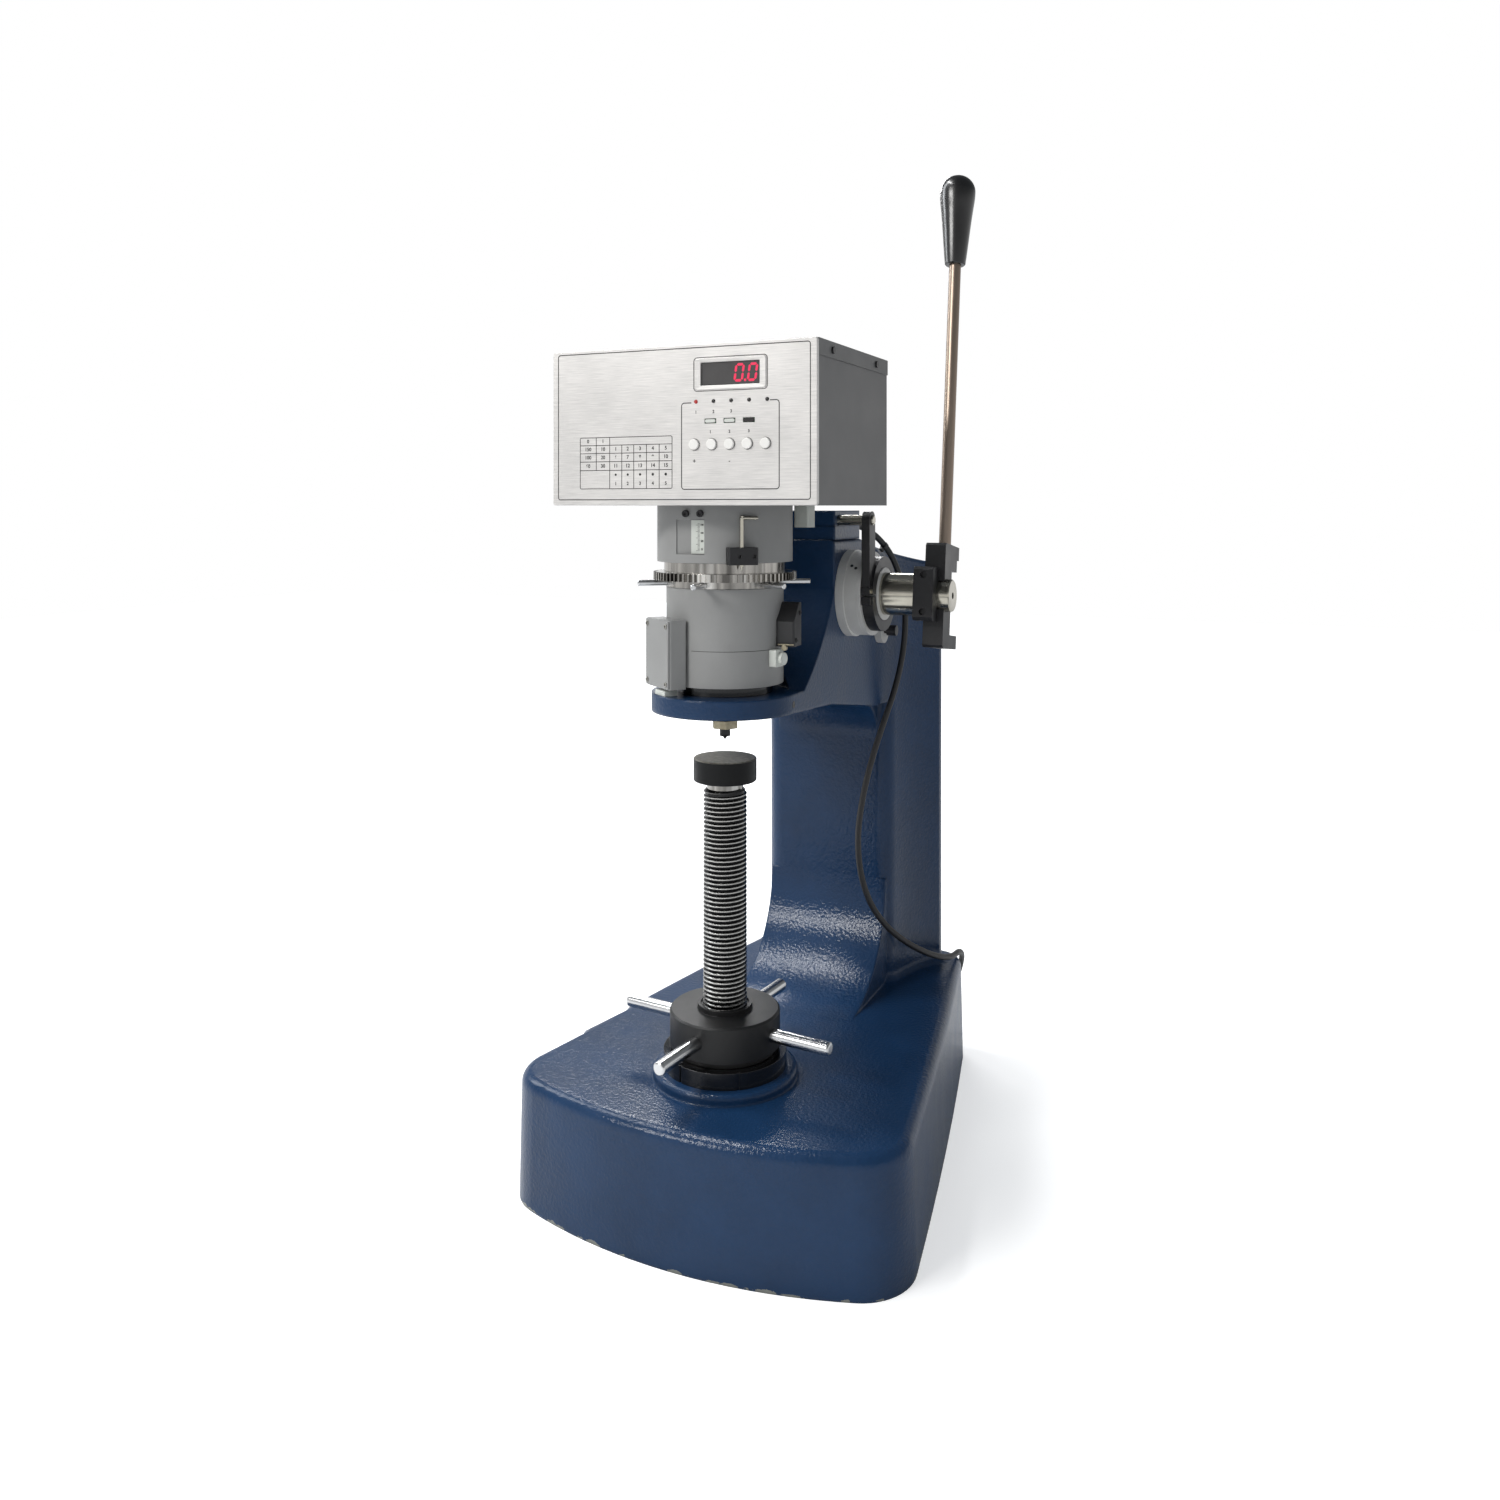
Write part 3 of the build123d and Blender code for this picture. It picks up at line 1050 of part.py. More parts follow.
def display_case():
    """Folded sheet: floor, two sides and rear wall, with a flange behind the panel."""
    front = BOX_FRONT + PANEL_T
    half = BOX_HALF - LIP_T
    top = BOX_Z + BOX_H - SHEET
    body = block(-half, half, front, BOX_REAR, BOX_Z, top)
    body = body - block(-half + SHEET, half - SHEET, front + SHEET, BOX_REAR - SHEET, BOX_Z + SHEET, top + 1)
    body = body - block(-half + 12, half - 12, front - 1, front + SHEET + 1, BOX_Z + 10, top + 1)
    for y in case_screw_ys():
        for side in (-1, 1):
            x0, x1 = sorted((side * (half - SHEET - 1), side * (half + 1)))
            body = body - cyl_x(CASE_SCREW_R + SLIP, x0, x1, y, case_screw_z())
    slots = [block(-60 + 12 * k, -54 + 12 * k, BOX_REAR - 3, BOX_REAR + 1, BOX_Z + 30, BOX_Z + 70) for k in range(11)]
    return body - slots


def case_screw_ys():
    return (-55.6, 56.1)


def case_screw_z():
    return BOX_Z + BOX_H - 7.0


def display_lid():
    top = BOX_Z + BOX_H
    front = BOX_FRONT + PANEL_T
    body = block(-BOX_HALF, BOX_HALF, front, BOX_REAR, top - SHEET, top)
    for side in (-1, 1):
        x0, x1 = sorted((side * (BOX_HALF - LIP_T), side * BOX_HALF))
        lip = block(x0, x1, front, BOX_REAR, top - LIP_H, top - SHEET)
        for y in case_screw_ys():
            lip = lip - cyl_x(CASE_SCREW_R + SLIP, x0 - 1, x1 + 1, y, case_screw_z())
        body = body + lip
    return body


def case_screw(side, y):
    """Pan head screw through the lid's lip."""
    half = BOX_HALF
    x0, x1 = sorted((side * (half - LIP_T - SHEET - 3), side * half))
    h0, h1 = sorted((side * half, side * (half + 1.6)))
    return cyl_x(CASE_SCREW_R, x0, x1, y, case_screw_z()) + cyl_x(3.0, h0, h1, y, case_screw_z())


def transformer():
    """Mains transformer on the floor of the box: laminated core and winding."""
    x = TRANSFORMER_INSET - BOX_HALF
    y = BOX_REAR - TRANSFORMER_INSET
    z = BOX_Z + SHEET
    core = block(x - 25, x + 25, y - 26, y + 26, z, z + 50)
    for z0 in (z + 10, z + 32):
        core = core - block(x - 16, x + 16, y - 27, y + 27, z0, z0 + 8)
    coil = block(x - 18, x + 18, y - 34, y + 34, z + 18, z + 32)
    return core + coil


nodes["front_panel"] = front_panel()
nodes["display_window"] = window(BOX_FRONT + 0.8, BOX_FRONT + PANEL_T, -SLIP)
nodes["display_board"] = display_board()
for number, x in enumerate(row_xs(), start=1):
    nodes[f"push_button_{number}"] = push_button(x)
nodes["display_case"] = display_case()
nodes["display_lid"] = display_lid()
nodes["case_screws"] = group(case_screw(side, y) for side in (-1, 1) for y in case_screw_ys())
nodes["transformer"] = transformer()


# ---- block on the arm, cable gland and cord -------------------------------------------
def arm_cap_block():
    body = block(-ARM_HALF, ARM_HALF, ARM_FACE_Y + 1, BLOCK_REAR, ARM_TOP_Z, BLOCK_TOP)
    inner = block(-ARM_HALF + 1, ARM_HALF - 1, ARM_FACE_Y + 2, BLOCK_REAR + 1, ARM_TOP_Z + 13, ARM_TOP_Z + 14)
    body = body - (block(-ARM_HALF - 1, ARM_HALF + 1, ARM_FACE_Y, BLOCK_REAR + 1, ARM_TOP_Z + 13, ARM_TOP_Z + 14) - inner)
    body = body - cyl_x(ANCHOR_PIN_R + SLIP, ARM_HALF - 20, ARM_HALF + 1, ANCHOR_ARM_Y, ANCHOR_PIN_Z)
    return body - cyl_y(5.0, BLOCK_REAR - 20, BLOCK_REAR + 1, GLAND_X, GLAND_Z)


def cable_gland():
    body = cyl_y(8.5, BLOCK_REAR, BLOCK_REAR + 7, GLAND_X, GLAND_Z)
    nut = Pos(GLAND_X, BLOCK_REAR + 12, GLAND_Z) * Rot(90, 0, 0) * Cone(6.0, 8.0, 10)
    stem = cyl_y(4.9, BLOCK_REAR - 12, BLOCK_REAR, GLAND_X, GLAND_Z)
    return body + nut + stem - cyl_y(CORD_R + SLIP, BLOCK_REAR + 2, BLOCK_REAR + 18, GLAND_X, GLAND_Z)


CORD_ROUTE = [
    (52, 179, 604),
    (52, 208, 604),
    (66, 232, 592),
    (79, 254, 566),
    (86, 270, 524),
    (85, 270, 474),
    (79, 258, 430),
    (69, 243, 391),
    (59, 233, 352),
    (51, 229, 314),
    (46, 228, 276),
    (48, 229, 238),
    (58, 232, 204),
    (74, 244, 176),
    (92, 268, 153),
    (109, 299, 134),
    (119, 333, 122.5),
    (120, 368, 120),
    (115, 398, 101),
    (104, 414, 70),
    (92, 422, 38),
    (76, 434, 9),
    (46.8, 460, 3.25),
]


def cord_radii(route):
    """Largest radius that both runs beside each corner allow."""
    points = [Vector(*p) for p in route]
    radii = []
    for a, b, c in zip(points, points[1:], points[2:]):
        turn = math.radians((b - a).get_angle(c - b))
        shorter = min((b - a).length, (c - b).length)
        radii.append(0.45 * shorter / math.tan(turn / 2))
    return radii


def power_cord():
    radii = cord_radii(CORD_ROUTE)
    path = FilletPolyline(*CORD_ROUTE, radius=radii)
    tube_ = sweep(Plane(path @ 0, z_dir=path % 0) * Circle(CORD_R), path)
    print("cord radii", [round(r) for r in radii], "length", round(path.length))
    print("cord volume ratio", round(tube_.volume / (math.pi * CORD_R ** 2 * path.length), 4))
    return tube_


def cord_coil():
    ring = Pos(COIL_R, 0) * RectangleRounded(COIL_W, COIL_H, 3.0)
    body = revolve(Plane.XZ * (Pos(0, COIL_H / 2) * ring), Axis.Z)
    return Pos(COIL_X, COIL_Y, 0) * body


def mains_plug():
    """Moulded plug lying on the floor beside the coil, with two round pins."""
    y, z = COIL_Y + COIL_R + CORD_R, 13.0
    x = COIL_X - 24.6
    relief = Pos(x - 9, y, z) * Rot(0, 90, 0) * Cone(6.5, 4.4, 18)
    body = block(x - 56, x - 18, y - 12, y + 12, 0, 26)
    body = fillet(body.edges().filter_by(Axis.X), 8.0)
    pins = [cyl_x(2.4, x - 75, x - 55, y + s * 6.5, z) for s in (-1, 1)]
    return relief + body + pins


nodes["arm_cap_block"] = arm_cap_block()
nodes["cable_gland"] = cable_gland()
nodes["power_cord"] = power_cord()
nodes["cord_coil"] = cord_coil()
nodes["mains_plug"] = mains_plug()

os.makedirs("parts", exist_ok=True)
for name, shape in nodes.items():
    export_step(shape, f"parts/{name}.step")
print(len(nodes), "nodes")
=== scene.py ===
import math

import bpy
from mathutils import Matrix, Vector

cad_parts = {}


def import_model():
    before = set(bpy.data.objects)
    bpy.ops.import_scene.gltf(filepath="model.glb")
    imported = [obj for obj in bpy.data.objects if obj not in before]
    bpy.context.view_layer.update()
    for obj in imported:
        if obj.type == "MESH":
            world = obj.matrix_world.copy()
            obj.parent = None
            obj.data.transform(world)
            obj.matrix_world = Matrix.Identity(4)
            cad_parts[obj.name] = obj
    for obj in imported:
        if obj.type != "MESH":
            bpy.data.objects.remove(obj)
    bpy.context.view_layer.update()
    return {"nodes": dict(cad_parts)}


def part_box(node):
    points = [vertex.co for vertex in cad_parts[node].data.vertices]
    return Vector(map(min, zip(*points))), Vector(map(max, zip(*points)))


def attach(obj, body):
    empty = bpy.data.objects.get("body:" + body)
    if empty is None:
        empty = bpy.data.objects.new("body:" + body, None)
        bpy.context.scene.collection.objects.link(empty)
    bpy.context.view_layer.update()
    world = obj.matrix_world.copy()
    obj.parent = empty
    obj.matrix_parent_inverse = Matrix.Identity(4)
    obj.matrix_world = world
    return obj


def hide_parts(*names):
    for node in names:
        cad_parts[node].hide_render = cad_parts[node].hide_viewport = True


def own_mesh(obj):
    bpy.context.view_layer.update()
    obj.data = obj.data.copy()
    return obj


MM = 0.001
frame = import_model()
nodes = frame["nodes"]
HEAD = "frame_and_head"        # the body that doesn't move
WHITE = (1, 1, 1, 1)


# ---- materials ------------------------------------------------------------------------
NOISE_LOW, NOISE_HIGH = 0.3, 0.7        # where most of a noise's values lie
LATHE_LINES = (0.02, 0.02, 1)           # stretch that turns a noise into rings round Z


def srgb(*rgb):
    """Linear colour of 0 to 255 display values."""
    return tuple((c / 255 / 12.92) if c <= 10 else ((c / 255 + 0.055) / 1.055) ** 2.4 for c in rgb) + (1.0,)


def shade(color, k):
    """The colour at k times its brightness."""
    return tuple(c * k for c in color[:3]) + (1.0,)


def new_material(name):
    """Material with its nodes, links and Principled node."""
    m = bpy.data.materials.new(name)
    m.use_nodes = True
    return m, m.node_tree.nodes, m.node_tree.links, m.node_tree.nodes["Principled BSDF"]


def coords(n, l, stretch=(1, 1, 1)):
    """Object coordinates, in metres; a small stretch draws a texture out along that axis."""
    tex = n.new("ShaderNodeTexCoord")
    mapping = n.new("ShaderNodeMapping")
    mapping.inputs["Scale"].default_value = stretch
    l.new(tex.outputs["Object"], mapping.inputs["Vector"])
    return mapping.outputs["Vector"]


def noise(n, l, vector, scale, detail=3.0, rough=0.5):
    """Noise from 0 to 1, most of it between NOISE_LOW and NOISE_HIGH."""
    t = n.new("ShaderNodeTexNoise")
    t.inputs["Scale"].default_value = scale
    t.inputs["Detail"].default_value = detail
    t.inputs["Roughness"].default_value = rough
    l.new(vector, t.inputs["Vector"])
    return t.outputs["Fac"]


def ramp(n, l, fac, stops):
    """Colour ramp through the (place, colour) stops."""
    r = n.new("ShaderNodeValToRGB")
    while len(r.color_ramp.elements) < len(stops):
        r.color_ramp.elements.new(0.5)
    for e, (p, c) in zip(r.color_ramp.elements, stops):
        e.position = p
        e.color = c
    l.new(fac, r.inputs["Fac"])
    return r.outputs["Color"]


def map_range(n, l, value, low, high, to_low=0.0, to_high=1.0):
    """Straight map of low..high to to_low..to_high, held at both ends."""
    r = n.new("ShaderNodeMapRange")
    for key, number in (("From Min", low), ("From Max", high), ("To Min", to_low), ("To Max", to_high)):
        r.inputs[key].default_value = number
    l.new(value, r.inputs["Value"])
    return r.outputs["Result"]


def spread(n, l, fac, low, high):
    """A noise's usual values, mapped to low..high."""
    return map_range(n, l, fac, NOISE_LOW, NOISE_HIGH, low, high)


def two_tone(n, l, fac, dark, light):
    """A noise's usual values as colours from dark to light."""
    return ramp(n, l, fac, [(NOISE_LOW, dark), (NOISE_HIGH, light)])


def calculated(n, l, operation, *values):
    """Math node; each value is a socket or a plain number."""
    m = n.new("ShaderNodeMath")
    m.operation = operation
    for socket, value in zip(m.inputs, values):
        if isinstance(value, float):
            socket.default_value = value
        else:
            l.new(value, socket)
    return m.outputs[0]


def mixed(n, l, factor, a, b):
    """Blend from a to b; each is a socket or a plain colour."""
    m = n.new("ShaderNodeMix")
    m.data_type = "RGBA"
    l.new(factor, m.inputs["Factor"])
    for key, value in (("A", a), ("B", b)):
        if isinstance(value, tuple):
            m.inputs[key].default_value = value
        else:
            l.new(value, m.inputs[key])
    return m.outputs["Result"]


def axes_of(n, l, vector):
    """X, Y and Z of a vector, as sockets."""
    split = n.new("ShaderNodeSeparateXYZ")
    l.new(vector, split.inputs["Vector"])
    return split.outputs


def bump(n, l, height, strength, distance, normal=None):
    """Bumped normal, on top of another normal if one is given."""
    b = n.new("ShaderNodeBump")
    b.inputs["Strength"].default_value = strength
    b.inputs["Distance"].default_value = distance
    l.new(height, b.inputs["Height"])
    if normal is not None:
        l.new(normal, b.inputs["Normal"])
    return b.outputs["Normal"]


def rounded(n, radius):
    """Normal that softens the edges by the radius, in metres."""
    b = n.new("ShaderNodeBevel")
    b.samples = 6
    b.inputs["Radius"].default_value = radius
    return b.outputs["Normal"]


def finish(name, color, dark=None, roughness=(0.4, 0.5), metallic=0.0, grain=300.0, depth=0.1, coat=0.0,
           edge=0.0004, stretch=(1, 1, 1), patch=25.0, coat_rough=0.08, distance=0.0004, fine=0.0):
    """A surface whose colour and gloss vary in patches, with a fine bump and softened edges."""
    m, n, l, p = new_material(name)
    v = coords(n, l, stretch)
    big = noise(n, l, v, patch, 5.0, 0.6)
    l.new(two_tone(n, l, big, dark or shade(color, 0.85), color), p.inputs["Base Color"])
    l.new(spread(n, l, big, *roughness), p.inputs["Roughness"])
    p.inputs["Metallic"].default_value = metallic
    p.inputs["Coat Weight"].default_value = coat
    p.inputs["Coat Roughness"].default_value = coat_rough
    normal = rounded(n, edge) if edge else None
    small = noise(n, l, v, grain, 2.0, 0.5)
    normal = bump(n, l, small, depth, distance, normal)
    if fine:
        normal = bump(n, l, noise(n, l, v, grain * 6, 2.0, 0.5), fine, distance / 4, normal)
    l.new(normal, p.inputs["Normal"])
    if coat:
        l.new(normal, p.inputs["Coat Normal"])
    return m


def turned(name, color, roughness, axis="Z", depth=0.05, rings=2600.0, edge=0.0003):
    """Machined metal with fine lathe rings round the given axis."""
    m, n, l, p = new_material(name)
    stretch = {"X": (1, 0.02, 0.02), "Z": LATHE_LINES}[axis]
    lines = noise(n, l, coords(n, l, stretch), rings, 3.0, 0.7)
    patches = noise(n, l, coords(n, l), 40.0, 4.0, 0.6)
    l.new(two_tone(n, l, patches, shade(color, 0.8), color), p.inputs["Base Color"])
    l.new(spread(n, l, lines, roughness * 0.8, roughness * 1.3), p.inputs["Roughness"])
    p.inputs["Metallic"].default_value = 1.0
    l.new(bump(n, l, lines, depth, 0.0002, rounded(n, edge)), p.inputs["Normal"])
    return m


def polished(name):
    """Bright turned metal with upright light and dark streaks of painted reflection in its colour, like those of a
    mirror finish.
    """
    m, n, l, p = new_material(name)
    # Upright streaks in the base colour: painted reflection, dark and bright bands standing in for a room's mirror
    # image.
    streaks = noise(n, l, coords(n, l, (1, 1, 0.03)), 58.0, 2.0, 0.5)
    stops = [(0.36, srgb(96, 94, 91)), (0.47, srgb(172, 169, 164)), (0.56, srgb(128, 126, 122)),
             (0.66, srgb(224, 222, 218))]
    l.new(ramp(n, l, streaks, stops), p.inputs["Base Color"])
    l.new(spread(n, l, streaks, 0.12, 0.2), p.inputs["Roughness"])
    p.inputs["Metallic"].default_value = 1.0
    lines = noise(n, l, coords(n, l, LATHE_LINES), 1800.0, 2.0, 0.5)
    l.new(bump(n, l, lines, 0.02, 0.0002, rounded(n, 0.0004)), p.inputs["Normal"])
    return m


CHIPS_FROM_TO = (0.0015, 0.006)     # heights between which the chips along the foot thin out, in metres


def enamel():
    """Thick glossy blue enamel with an orange-peel skin, chipped along the foot."""
    m = finish("blue_enamel", srgb(22, 53, 88), srgb(16, 43, 73), (0.36, 0.48), grain=330.0, depth=0.65,
               coat=0.4, edge=0.0035, patch=9.0, coat_rough=0.1, distance=0.0007, fine=0.12)
    n, l = m.node_tree.nodes, m.node_tree.links
    p = n["Principled BSDF"]
    p.inputs["Specular IOR Level"].default_value = 0.12
    v = coords(n, l)
    height = axes_of(n, l, v)["Z"]
    chip_level = map_range(n, l, height, *CHIPS_FROM_TO, 0.46, 0.14)
    chipped = calculated(n, l, "LESS_THAN", noise(n, l, v, 42.0, 6.0, 0.65), chip_level)
    paint = p.inputs["Base Color"].links[0].from_socket
    l.new(mixed(n, l, chipped, paint, srgb(120, 122, 118)), p.inputs["Base Color"])
    return m


# From groove to crest the colour goes from painted shade to painted highlight.
GROOVE_TO_CREST = (0.0178, 0.0196)  # radii of the thread between which it gets brighter, in metres


def thread_steel():
    """Turned steel with painted highlight on the crests of the thread and painted shade in its grooves."""
    m, n, l, p = new_material("screw_steel")
    v = coords(n, l)
    place = axes_of(n, l, v)
    flat = n.new("ShaderNodeCombineXYZ")
    for axis in "XY":
        l.new(place[axis], flat.inputs[axis])
    radius = n.new("ShaderNodeVectorMath")
    radius.operation = "LENGTH"
    l.new(flat.outputs["Vector"], radius.inputs[0])
    level = map_range(n, l, radius.outputs["Value"], *GROOVE_TO_CREST)
    # Painted shade in the grooves, darkest at the root, and painted highlight on the crests.
    tones = [(0.0, srgb(34, 34, 35)), (0.4, srgb(62, 62, 62)), (0.85, srgb(150, 149, 147)),
             (1.0, srgb(184, 183, 180))]
    l.new(ramp(n, l, level, tones), p.inputs["Base Color"])
    l.new(spread(n, l, noise(n, l, v, 300.0), 0.22, 0.32), p.inputs["Roughness"])
    p.inputs["Metallic"].default_value = 1.0
    lines = noise(n, l, coords(n, l, LATHE_LINES), 1800.0, 2.0, 0.5)
    l.new(bump(n, l, lines, 0.02, 0.0002), p.inputs["Normal"])
    return m


BLUE = enamel()
GREY = finish("grey_housing_paint", srgb(142, 142, 141), srgb(134, 134, 133), (0.42, 0.55), grain=900.0, depth=0.18,
              edge=0.0006, fine=0.1, distance=0.0002)
CASE_GREY = finish("dark_case_paint", srgb(98, 98, 98), srgb(92, 92, 92), (0.45, 0.55), grain=1300.0, depth=0.2,
                   edge=0.0006, distance=0.0002)
OXIDE = finish("black_oxide", srgb(44, 44, 46), srgb(30, 30, 32), (0.32, 0.45), metallic=0.35, grain=900.0,
               depth=0.08, edge=0.0006, distance=0.0002)
BLACK_SATIN = finish("black_satin_steel", srgb(24, 24, 25), srgb(18, 18, 19), (0.36, 0.48), metallic=0.2,
                     grain=700.0, depth=0.07, edge=0.0006, distance=0.0002)
BLACK_GLOSS = finish("black_gloss_enamel", srgb(16, 16, 17), srgb(12, 12, 13), (0.14, 0.22), grain=300.0, depth=0.06,
                     coat=0.6, edge=0.0006)
KNOB_BLACK = finish("knob_bakelite", srgb(18, 18, 19), srgb(12, 12, 13), (0.26, 0.34), grain=200.0, depth=0.005,
                    coat=0.3, edge=0.0, coat_rough=0.16)
SHAFT_STEEL = turned("shaft_steel", srgb(186, 182, 170), 0.15, "X", 0.02)
SCREW_STEEL = thread_steel()
RING_STEEL = polished("ring_steel")
ROD_STEEL = finish("rod_steel", srgb(150, 136, 124), srgb(134, 120, 108), (0.34, 0.42), metallic=1.0, grain=200.0,
                   depth=0.003, edge=0.0, stretch=(1, 1, 0.1))
BAR_CHROME = finish("bar_chrome", srgb(214, 215, 216), srgb(196, 197, 199), (0.2, 0.27), metallic=1.0, grain=120.0,
                    depth=0.004, edge=0.0)
PLAIN_STEEL = turned("plain_steel", srgb(160, 158, 152), 0.32, "Z")
ZINC = finish("zinc_plate", srgb(176, 168, 146), srgb(132, 124, 104), (0.28, 0.42), metallic=0.9, grain=400.0,
              depth=0.08, edge=0.0004, patch=120.0)
BRONZE = turned("bearing_bronze", srgb(186, 140, 84), 0.3, "X")
DRUM_WHITE = finish("drum_white_paint", srgb(204, 203, 200), srgb(188, 187, 184), (0.34, 0.45), grain=300.0,
                    depth=0.14, coat=0.2, edge=0.0008, patch=30.0)
PALE = finish("pale_plastic", srgb(206, 209, 203), srgb(194, 197, 190), (0.4, 0.5), grain=500.0, depth=0.05,
              edge=0.0005)
BLACK_PLASTIC = finish("black_moulding", srgb(34, 34, 36), srgb(26, 26, 28), (0.38, 0.5), grain=900.0, depth=0.1,
                       edge=0.0005, distance=0.0002)
CORD_BLACK = finish("cord_jacket", srgb(30, 30, 32), srgb(22, 22, 24), (0.42, 0.55), grain=900.0, depth=0.08,
                    edge=0.0)
BOARD = finish("circuit_board", srgb(30, 92, 54), srgb(22, 76, 44), (0.3, 0.4), grain=500.0, depth=0.05)
PRINT = finish("print_ink", srgb(40, 38, 38), srgb(32, 30, 30), (0.5, 0.6), edge=0.0, grain=900.0, depth=0.02)
CAST_IRON = finish("bare_casting", srgb(92, 88, 82), srgb(70, 66, 60), (0.5, 0.65), metallic=0.6, grain=300.0,
                   depth=0.3)
BUTTON_WHITE = finish("button_white", srgb(232, 230, 226), srgb(222, 220, 216), (0.26, 0.34), grain=300.0,
                      depth=0.02, coat=0.3, edge=0.0003)


def panel_material():
    """Pale brushed aluminium with horizontal strokes."""
    m, n, l, p = new_material("brushed_panel")
    strokes = noise(n, l, coords(n, l, (0.03, 1, 1)), 1500.0, 4.0, 0.7)
    patches = noise(n, l, coords(n, l), 12.0, 3.0, 0.5)
    tone = calculated(n, l, "MULTIPLY_ADD", strokes, 0.6, calculated(n, l, "MULTIPLY", patches, 0.4))
    tones = [(0.38, srgb(186, 184, 182)), (0.62, srgb(216, 213, 210))]
    l.new(ramp(n, l, tone, tones), p.inputs["Base Color"])
    l.new(spread(n, l, strokes, 0.34, 0.46), p.inputs["Roughness"])
    p.inputs["Metallic"].default_value = 0.3
    l.new(bump(n, l, strokes, 0.12, 0.0001, rounded(n, 0.0006)), p.inputs["Normal"])
    return m


def anvil_material():
    """Black side, bare ground and mottled top face."""
    m, n, l, p = new_material("anvil_finish")
    surface = n.new("ShaderNodeNewGeometry")
    up = map_range(n, l, axes_of(n, l, surface.outputs["Normal"])["Z"], 0.5, 0.9)
    spots = noise(n, l, coords(n, l), 260.0, 6.0, 0.7)
    top = ramp(n, l, spots, [(0.35, srgb(118, 114, 100)), (0.6, srgb(176, 172, 160)), (0.75, srgb(210, 207, 198))])
    l.new(mixed(n, l, up, srgb(20, 21, 22), top), p.inputs["Base Color"])
    p.inputs["Specular IOR Level"].default_value = 0.2
    l.new(spread(n, l, spots, 0.3, 0.5), p.inputs["Roughness"])
    l.new(spread(n, l, up, 0.15, 0.5), p.inputs["Metallic"])
    l.new(bump(n, l, spots, 0.1, 0.0002, rounded(n, 0.0006)), p.inputs["Normal"])
    return m


def glow_material(name, color, strength):
    """Lit plastic of one colour."""
    m, n, l, p = new_material(name)
    grain = noise(n, l, coords(n, l), 300.0)
    l.new(two_tone(n, l, grain, shade(color, 0.85), color), p.inputs["Base Color"])
    p.inputs["Emission Color"].default_value = color
    p.inputs["Emission Strength"].default_value = strength
    p.inputs["Roughness"].default_value = 0.4
    return m


PANEL = panel_material()
ANVIL = anvil_material()
WINDOW = finish("smoked_window", srgb(70, 68, 68), srgb(62, 60, 60), (0.12, 0.2), grain=200.0, depth=0.01, edge=0.0)
DIGIT = glow_material("display_digits_red", srgb(206, 10, 66), 0.55)
LAMP_RED = glow_material("lamp_red", srgb(150, 24, 20), 0.25)
LAMP_DARK = finish("lamp_dark", srgb(34, 32, 32), srgb(26, 24, 24), (0.2, 0.3), edge=0.0)

finishes = {
    "base_column_casting": BLUE, "arm_cap_block": BLUE, "base_cover_plate": CAST_IRON, "base_plate_screws": OXIDE,
    "bearing_cover": BLACK_GLOSS, "thrust_bearing": PLAIN_STEEL, "capstan_nut": BLACK_SATIN,
    "capstan_bars": BAR_CHROME, "elevating_screw": SCREW_STEEL, "anvil": ANVIL, "screw_guide_key": PLAIN_STEEL,
    "lower_housing_band": GREY, "lower_housing": GREY, "core_tube": BLACK_GLOSS, "force_ring": RING_STEEL,
    "ring_pins": BAR_CHROME, "upper_housing": GREY, "scale_plate": PALE, "head_cap_screws": OXIDE,
    "detent_block": OXIDE, "detent_plunger": SHAFT_STEEL, "sensor_cover": GREY, "displacement_sensor": PALE,
    "limit_switch": BLACK_PLASTIC, "connector_block": PALE, "spindle": PLAIN_STEEL, "spindle_nut": ZINC,
    "indenter": OXIDE, "pressure_sleeve": PLAIN_STEEL, "load_spring": PLAIN_STEEL, "return_spring": PLAIN_STEEL,
    "plain_bushes": BRONZE, "load_beam": PLAIN_STEEL, "pivot_pins": SHAFT_STEEL, "drive_shaft": SHAFT_STEEL,
    "spring_drum": DRUM_WHITE, "drum_cover": DRUM_WHITE, "return_clock_spring": PLAIN_STEEL, "anchor_ring": OXIDE,
    "side_stop_screw": DRUM_WHITE, "lever_bracket": OXIDE, "hub_block": OXIDE, "lever_rod": ROD_STEEL,
    "lever_knob": KNOB_BLACK, "front_panel": PANEL, "display_window": WINDOW, "display_board": BOARD,
    "display_case": CASE_GREY, "display_lid": CASE_GREY, "case_screws": OXIDE, "transformer": PLAIN_STEEL,
    "cable_gland": BLACK_PLASTIC, "power_cord": CORD_BLACK, "cord_coil": CORD_BLACK, "mains_plug": BLACK_PLASTIC,
}
for i in range(1, 6):
    finishes[f"push_button_{i}"] = BUTTON_WHITE
for name, obj in nodes.items():
    obj.data.materials.clear()
    obj.data.materials.append(finishes[name])


def second_finish(node, material, test):
    """Give the faces whose middle passes the test another finish."""
    data = nodes[node].data
    data.materials.append(material)
    for face in data.polygons:
        if test(face.center):
            face.material_index = 1


second_finish("side_stop_screw", BLACK_PLASTIC, lambda c: c.x > 0.0731)
second_finish("limit_switch", PALE, lambda c: c.z < 0.4975)
second_finish("anvil", RING_STEEL, lambda c: c.z < 0.37595)


# ---- mesh helpers ---------------------------------------------------------------------
# A part is a pair of vertices and faces, in millimetres until in_metres.


def placed(name, data):
    """New object in the scene."""
    o = bpy.data.objects.new(name, data)
    bpy.context.scene.collection.objects.link(o)
    return o


def mesh_object(name, verts, faces, material, smooth=None):
    """Mesh piece in metres; smooth is the angle from which its edges stay sharp."""
    me = bpy.data.meshes.new(name)
    me.from_pydata([tuple(v) for v in verts], [], faces)
    me.update()
    o = placed(name, me)
    me.materials.append(material)
    if smooth is not None:
        me.shade_smooth()
        me.set_sharp_from_angle(angle=math.radians(smooth))
    return o


